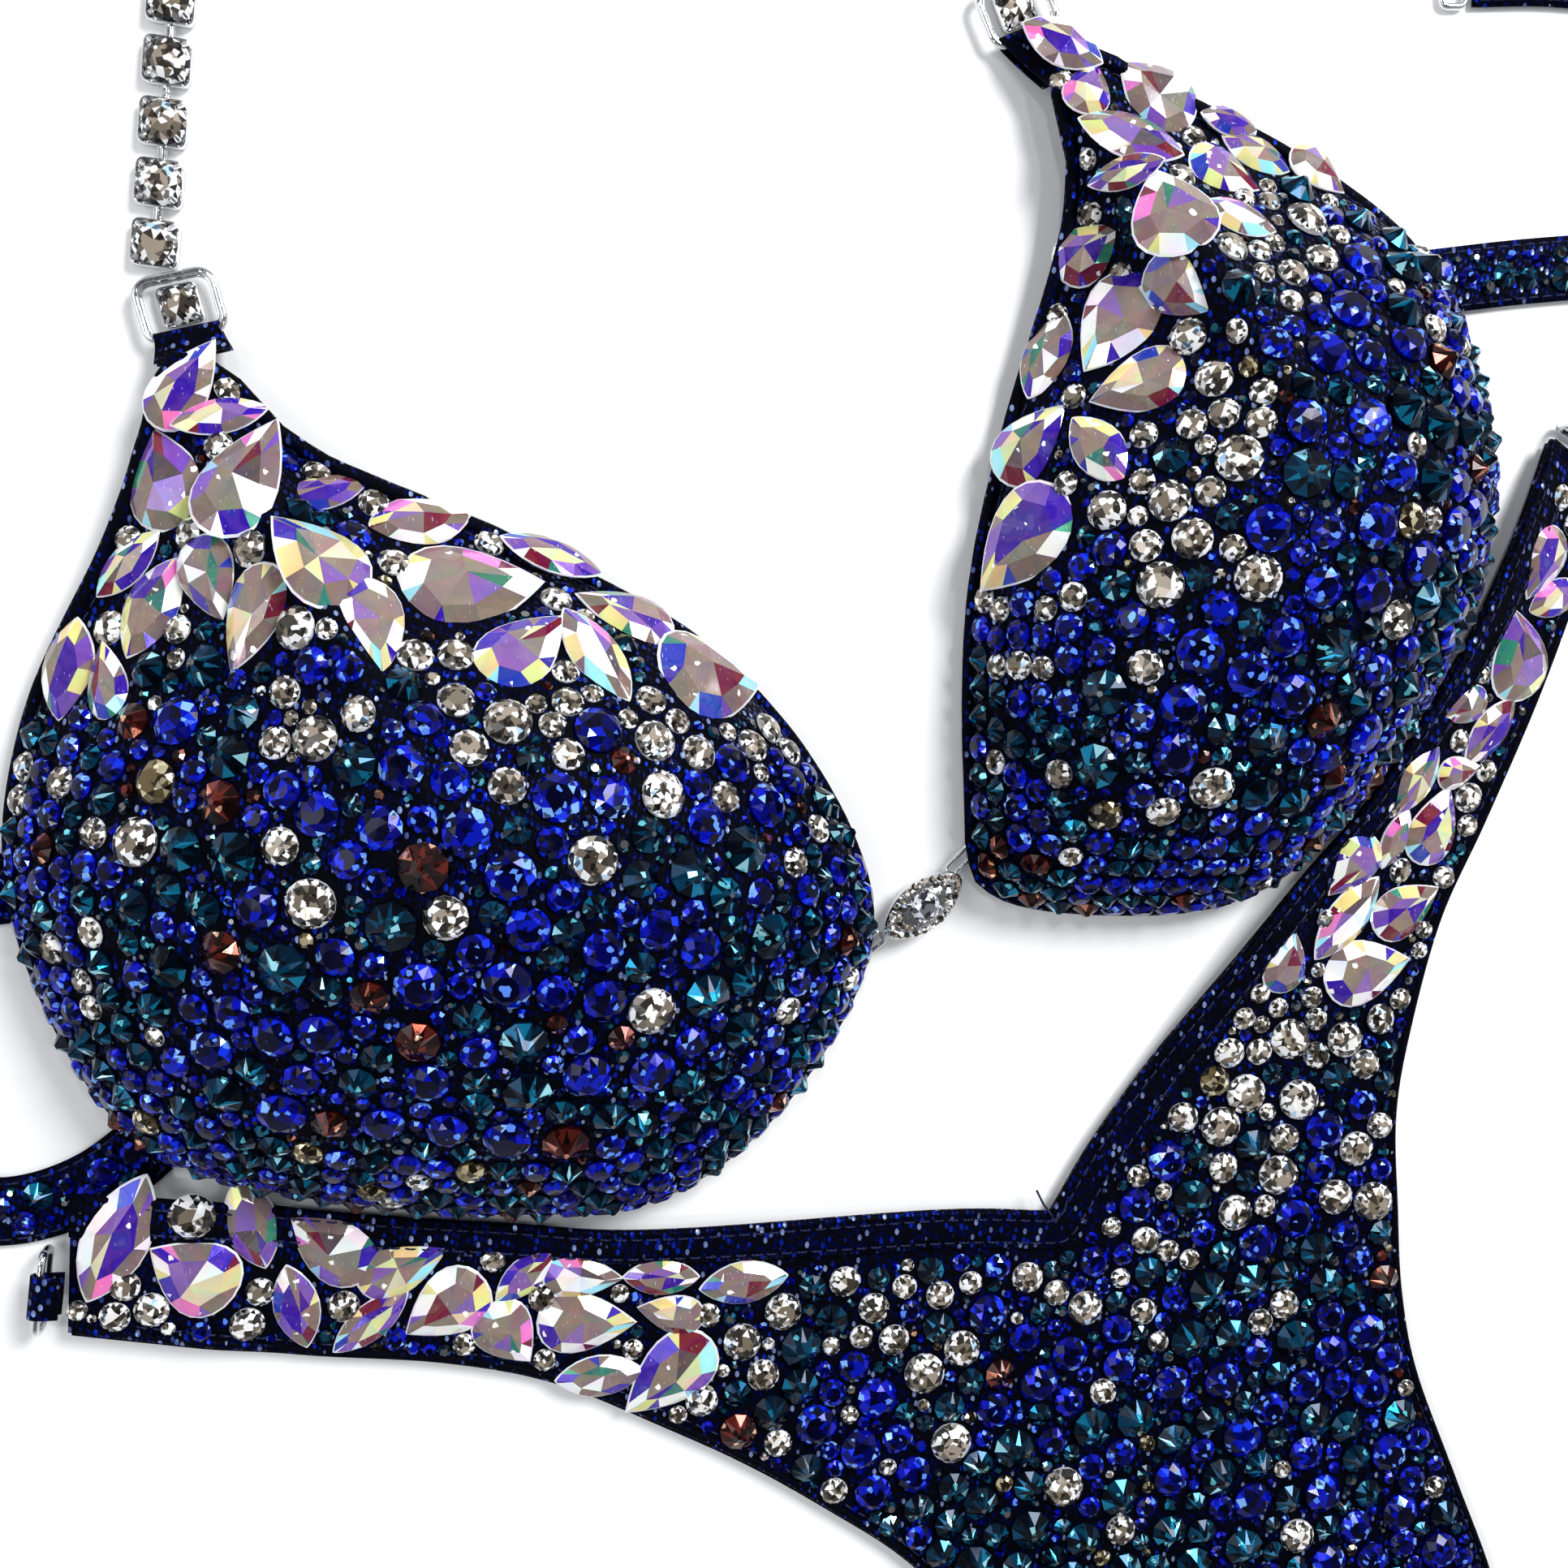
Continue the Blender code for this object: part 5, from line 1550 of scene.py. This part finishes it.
def silver():
    """Rhodium-bright plating with faint handling marks."""
    look = Shader("silver", 0.16, 1.0)
    cloud = look.noise(420.0, 4.0).outputs["Fac"]
    look.pattern(cloud, (0.62, 0.62, 0.63), (0.92, 0.92, 0.93), 0.00005, 0.4)
    marks = look.noise(3200.0, 1.0).outputs["Fac"]
    look.to("Roughness", look.span(marks, 0.35, 0.7, 0.07, 0.24))
    return look.material


FACE_ROUGHNESS = 0.1
# The thin film's colours, each at a place between 0 and 1, and how much of it shows.
IRIDESCENCE = ((0.0, (0.30, 0.20, 0.20)), (0.22, (0.26, 0.10, 0.55)), (0.40, (0.05, 0.02, 0.35)),
               (0.52, (0.20, 0.13, 0.16)), (0.64, (0.62, 0.22, 0.50)), (0.78, (0.26, 0.26, 0.14)),
               (0.90, (0.10, 0.30, 0.40)), (1.0, (0.70, 0.66, 0.60)))
FILM_SHARE = 0.08
BLACK = (0.0, 0.0, 0.0, 1)
WHITE = (1.0, 1.0, 1.0, 1)


def thin_film(look):
    """The iridescent coating: slow drifts through a ramp of colours."""
    drift = look.span(look.noise(230.0, 1.0).outputs["Fac"], 0.3, 0.7)
    film = look.node("ShaderNodeValToRGB", {0: drift})
    ramp = film.color_ramp.elements
    for place, shade in IRIDESCENCE[1:-1]:
        ramp.new(place).color = (*shade, 1)
    ramp[0].color = (*IRIDESCENCE[0][1], 1)
    ramp[-1].color = (*IRIDESCENCE[-1][1], 1)
    return film.outputs[0]


def painted_scratch_glints(look, most):
    """Short fine scratch streaks, all one way, painted white: painted highlights where the scratch lines
    catch the light.
    """
    lines = look.node("ShaderNodeMapping", {"Vector": look.place, "Rotation": (0.0, 0.0, 0.9),
                                            "Scale": (4200.0, 900.0, 600.0)})
    streak = look.node("ShaderNodeTexNoise", {"Vector": lines.outputs[0], "Scale": 1.0, "Detail": 2.0})
    return look.span(streak.outputs["Fac"], 0.69, 0.74, 0.0, most)


def crystal(name, metallic, coat, glint, glints, shadows, scratch_glints=0.0):
    """A foiled stone: its facets' colours, which hold painted highlights and dark reflections, with painted
    glint spots and painted shade spots scattered over them. Glints and shadows are the shares of these light
    and dark spots. A stone with scratch streaks also has a thin film and white scratch streaks painted as
    highlights."""
    look = Shader(name, FACE_ROUGHNESS, metallic, Coat_Weight=coat, Coat_Roughness=0.03,
                  Specular_IOR_Level=0.25)
    facets = look.node("ShaderNodeAttribute", attribute_name="gem").outputs["Color"]
    cells = look.node("ShaderNodeTexVoronoi", {"Vector": look.place, "Scale": 1250.0})
    chance = look.node("ShaderNodeSeparateColor", {0: cells.outputs["Color"]})
    # Painted shade: a share of small cells is darkened most of the way to black.
    dark = look.maths("GREATER_THAN", chance.outputs[0], 1 - shadows)
    colour = look.mix(dark, facets, look.mix(0.82, facets, BLACK))
    # Painted glints: a share of small cells takes the glint colour.
    lit = look.maths("GREATER_THAN", chance.outputs[1], 1 - glints)
    colour = look.mix(lit, colour, glint)
    if scratch_glints:
        colour = look.mix(FILM_SHARE, colour, thin_film(look))
        # Painted highlights: white scratch streaks mixed into the colour.
        colour = look.mix(painted_scratch_glints(look, scratch_glints), colour, WHITE)
    look.to("Base Color", colour)
    haze = look.noise(5200.0, 1.0).outputs["Fac"]
    look.to("Roughness", look.span(haze, 0.3, 0.8, FACE_ROUGHNESS * 0.6, FACE_ROUGHNESS * 1.8))
    return look.material


def pale_floor():
    """Nearly white, with faint clouds."""
    look = Shader("pale_floor", 0.6)
    cloud = look.noise(30.0, 3.0).outputs["Fac"]
    look.to("Base Color", look.mix(cloud, (0.86, 0.86, 0.865, 1), (0.90, 0.90, 0.90, 1)))
    return look.material


def make_materials():
    makers = (glitter_mesh, thread, lining_tricot, cup_foam, elastic, silver, pale_floor)
    made = {make.__name__: make() for make in makers}
    # Each crystal: metallic, coat, painted glint colour, share of painted glints, share of painted shade
    # spots, and white scratch streaks painted as highlights.
    for name, *look in (
        ("sapphire", 0.35, 0.06, (0.12, 0.30, 1.0, 1), 0.05, 0.12),
        ("teal", 0.70, 0.12, (0.15, 0.65, 0.75, 1), 0.025, 0.08),
        ("copper", 0.75, 0.3, (1.0, 0.55, 0.35, 1), 0.03, 0.14),
        ("gold", 0.70, 0.4, (1.0, 0.92, 0.7, 1), 0.06, 0.18),
        ("clear", 0.30, 0.5, (1.0, 1.0, 1.0, 1), 0.13, 0.26),
        ("aurora", 0.20, 0.3, (1.0, 1.0, 0.94, 1), 0.008, 0.0, 0.55),
    ):
        made[f"{name}_crystal"] = crystal(f"{name}_crystal", *look)
    return made


# Stage, light and camera.


def add_floor():
    """A wide pale table, just below the pieces."""
    bm = bmesh.new()
    bmesh.ops.create_grid(bm, x_segments=8, y_segments=8, size=3.0)
    mesh = bpy.data.meshes.new("floor")
    bm.to_mesh(mesh)
    bm.free()
    mesh.materials.append(MATERIALS["pale_floor"])
    floor = bpy.data.objects.new("floor", mesh)
    floor.location.z = -0.0001
    bpy.context.scene.collection.objects.link(floor)


def add_area_light(name, place, size, power, colour=(1.0, 1.0, 1.0)):
    light = bpy.data.lights.new(name, "AREA")
    light.shape = "DISK"
    light.size = size
    light.energy = power
    light.color = colour
    lamp = bpy.data.objects.new(name, light)
    lamp.location = place
    lamp.rotation_euler = (-Vector(place)).to_track_quat("-Z", "Y").to_euler()
    bpy.context.scene.collection.objects.link(lamp)


def add_light():
    """A room with bright walls and a dark ceiling, soft lamps, and small lamps for the sparkle."""
    world = bpy.data.worlds.new("studio")
    world.use_nodes = True
    tree = world.node_tree
    background = tree.nodes["Background"]
    background.inputs["Color"].default_value = (0.92, 0.95, 1.0, 1)
    heading = tree.nodes.new("ShaderNodeSeparateXYZ")
    tree.links.new(tree.nodes.new("ShaderNodeTexCoord").outputs["Generated"], heading.inputs[0])
    fade = tree.nodes.new("ShaderNodeMapRange")
    for index, value in enumerate((0.0, 0.25, 0.85, 0.75, 0.10)):
        fade.inputs[index].default_value = value
    tree.links.new(heading.outputs["Z"], fade.inputs[0])
    tree.links.new(fade.outputs[0], background.inputs["Strength"])
    bpy.context.scene.world = world
    add_area_light("key", (0.45, 0.55, 0.75), 0.4, 11.5)
    add_area_light("fill", (-0.6, 0.1, 0.7), 0.5, 2.0, (0.93, 0.96, 1.0))
    for index, place in enumerate(((-0.12, 0.30, 0.62), (0.22, 0.05, 0.70), (-0.30, -0.22, 0.55))):
        add_area_light(f"sparkle_{index + 1}", place, 0.04, 0.4)


def add_camera():
    """The camera at EYE looks at TARGET, with +Y up in its view."""
    camera = bpy.data.objects.new("camera", bpy.data.cameras.new("camera"))
    camera.data.angle = FIELD_OF_VIEW
    camera.data.clip_start = 0.01
    back = (EYE - TARGET).normalized()
    up = Vector((0, 1, 0))
    up = (up - back * up.dot(back)).normalized()
    right = up.cross(back)
    turn = Matrix((right, up, back)).transposed().to_4x4()
    camera.matrix_world = Matrix.Translation(EYE) @ turn
    bpy.context.scene.collection.objects.link(camera)
    bpy.context.scene.camera = camera


def build():
    """Stage first, then each side's pieces, then the shared ones."""
    add_floor()
    add_light()
    add_camera()
    for side in ("left", "right"):
        add_cup_inside(side)
        add_neck_hardware(side)
        add_cup_fabric(side)
        cup_stones(side)
        add_chain(side)
        add_strap_fabric(side)
        strap_stones(side)
        add_hip_hardware(side)
    add_briefs_fabric()
    briefs_stones()
    add_connector()
    add_closure()
    add_strap_ends()
    for side in ("left", "right"):
        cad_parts[f"{side}_cup_edge_elastic"].material_slots[0].material = MATERIALS["elastic"]


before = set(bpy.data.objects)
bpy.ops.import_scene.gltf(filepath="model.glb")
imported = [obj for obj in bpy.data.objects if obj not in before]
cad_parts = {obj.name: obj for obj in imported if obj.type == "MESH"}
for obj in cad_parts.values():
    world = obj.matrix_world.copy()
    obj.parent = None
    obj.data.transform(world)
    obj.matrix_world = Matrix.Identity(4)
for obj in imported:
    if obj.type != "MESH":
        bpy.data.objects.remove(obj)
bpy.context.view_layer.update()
bpy.context.scene.view_settings.view_transform = "Standard"
MATERIALS = make_materials()
build()
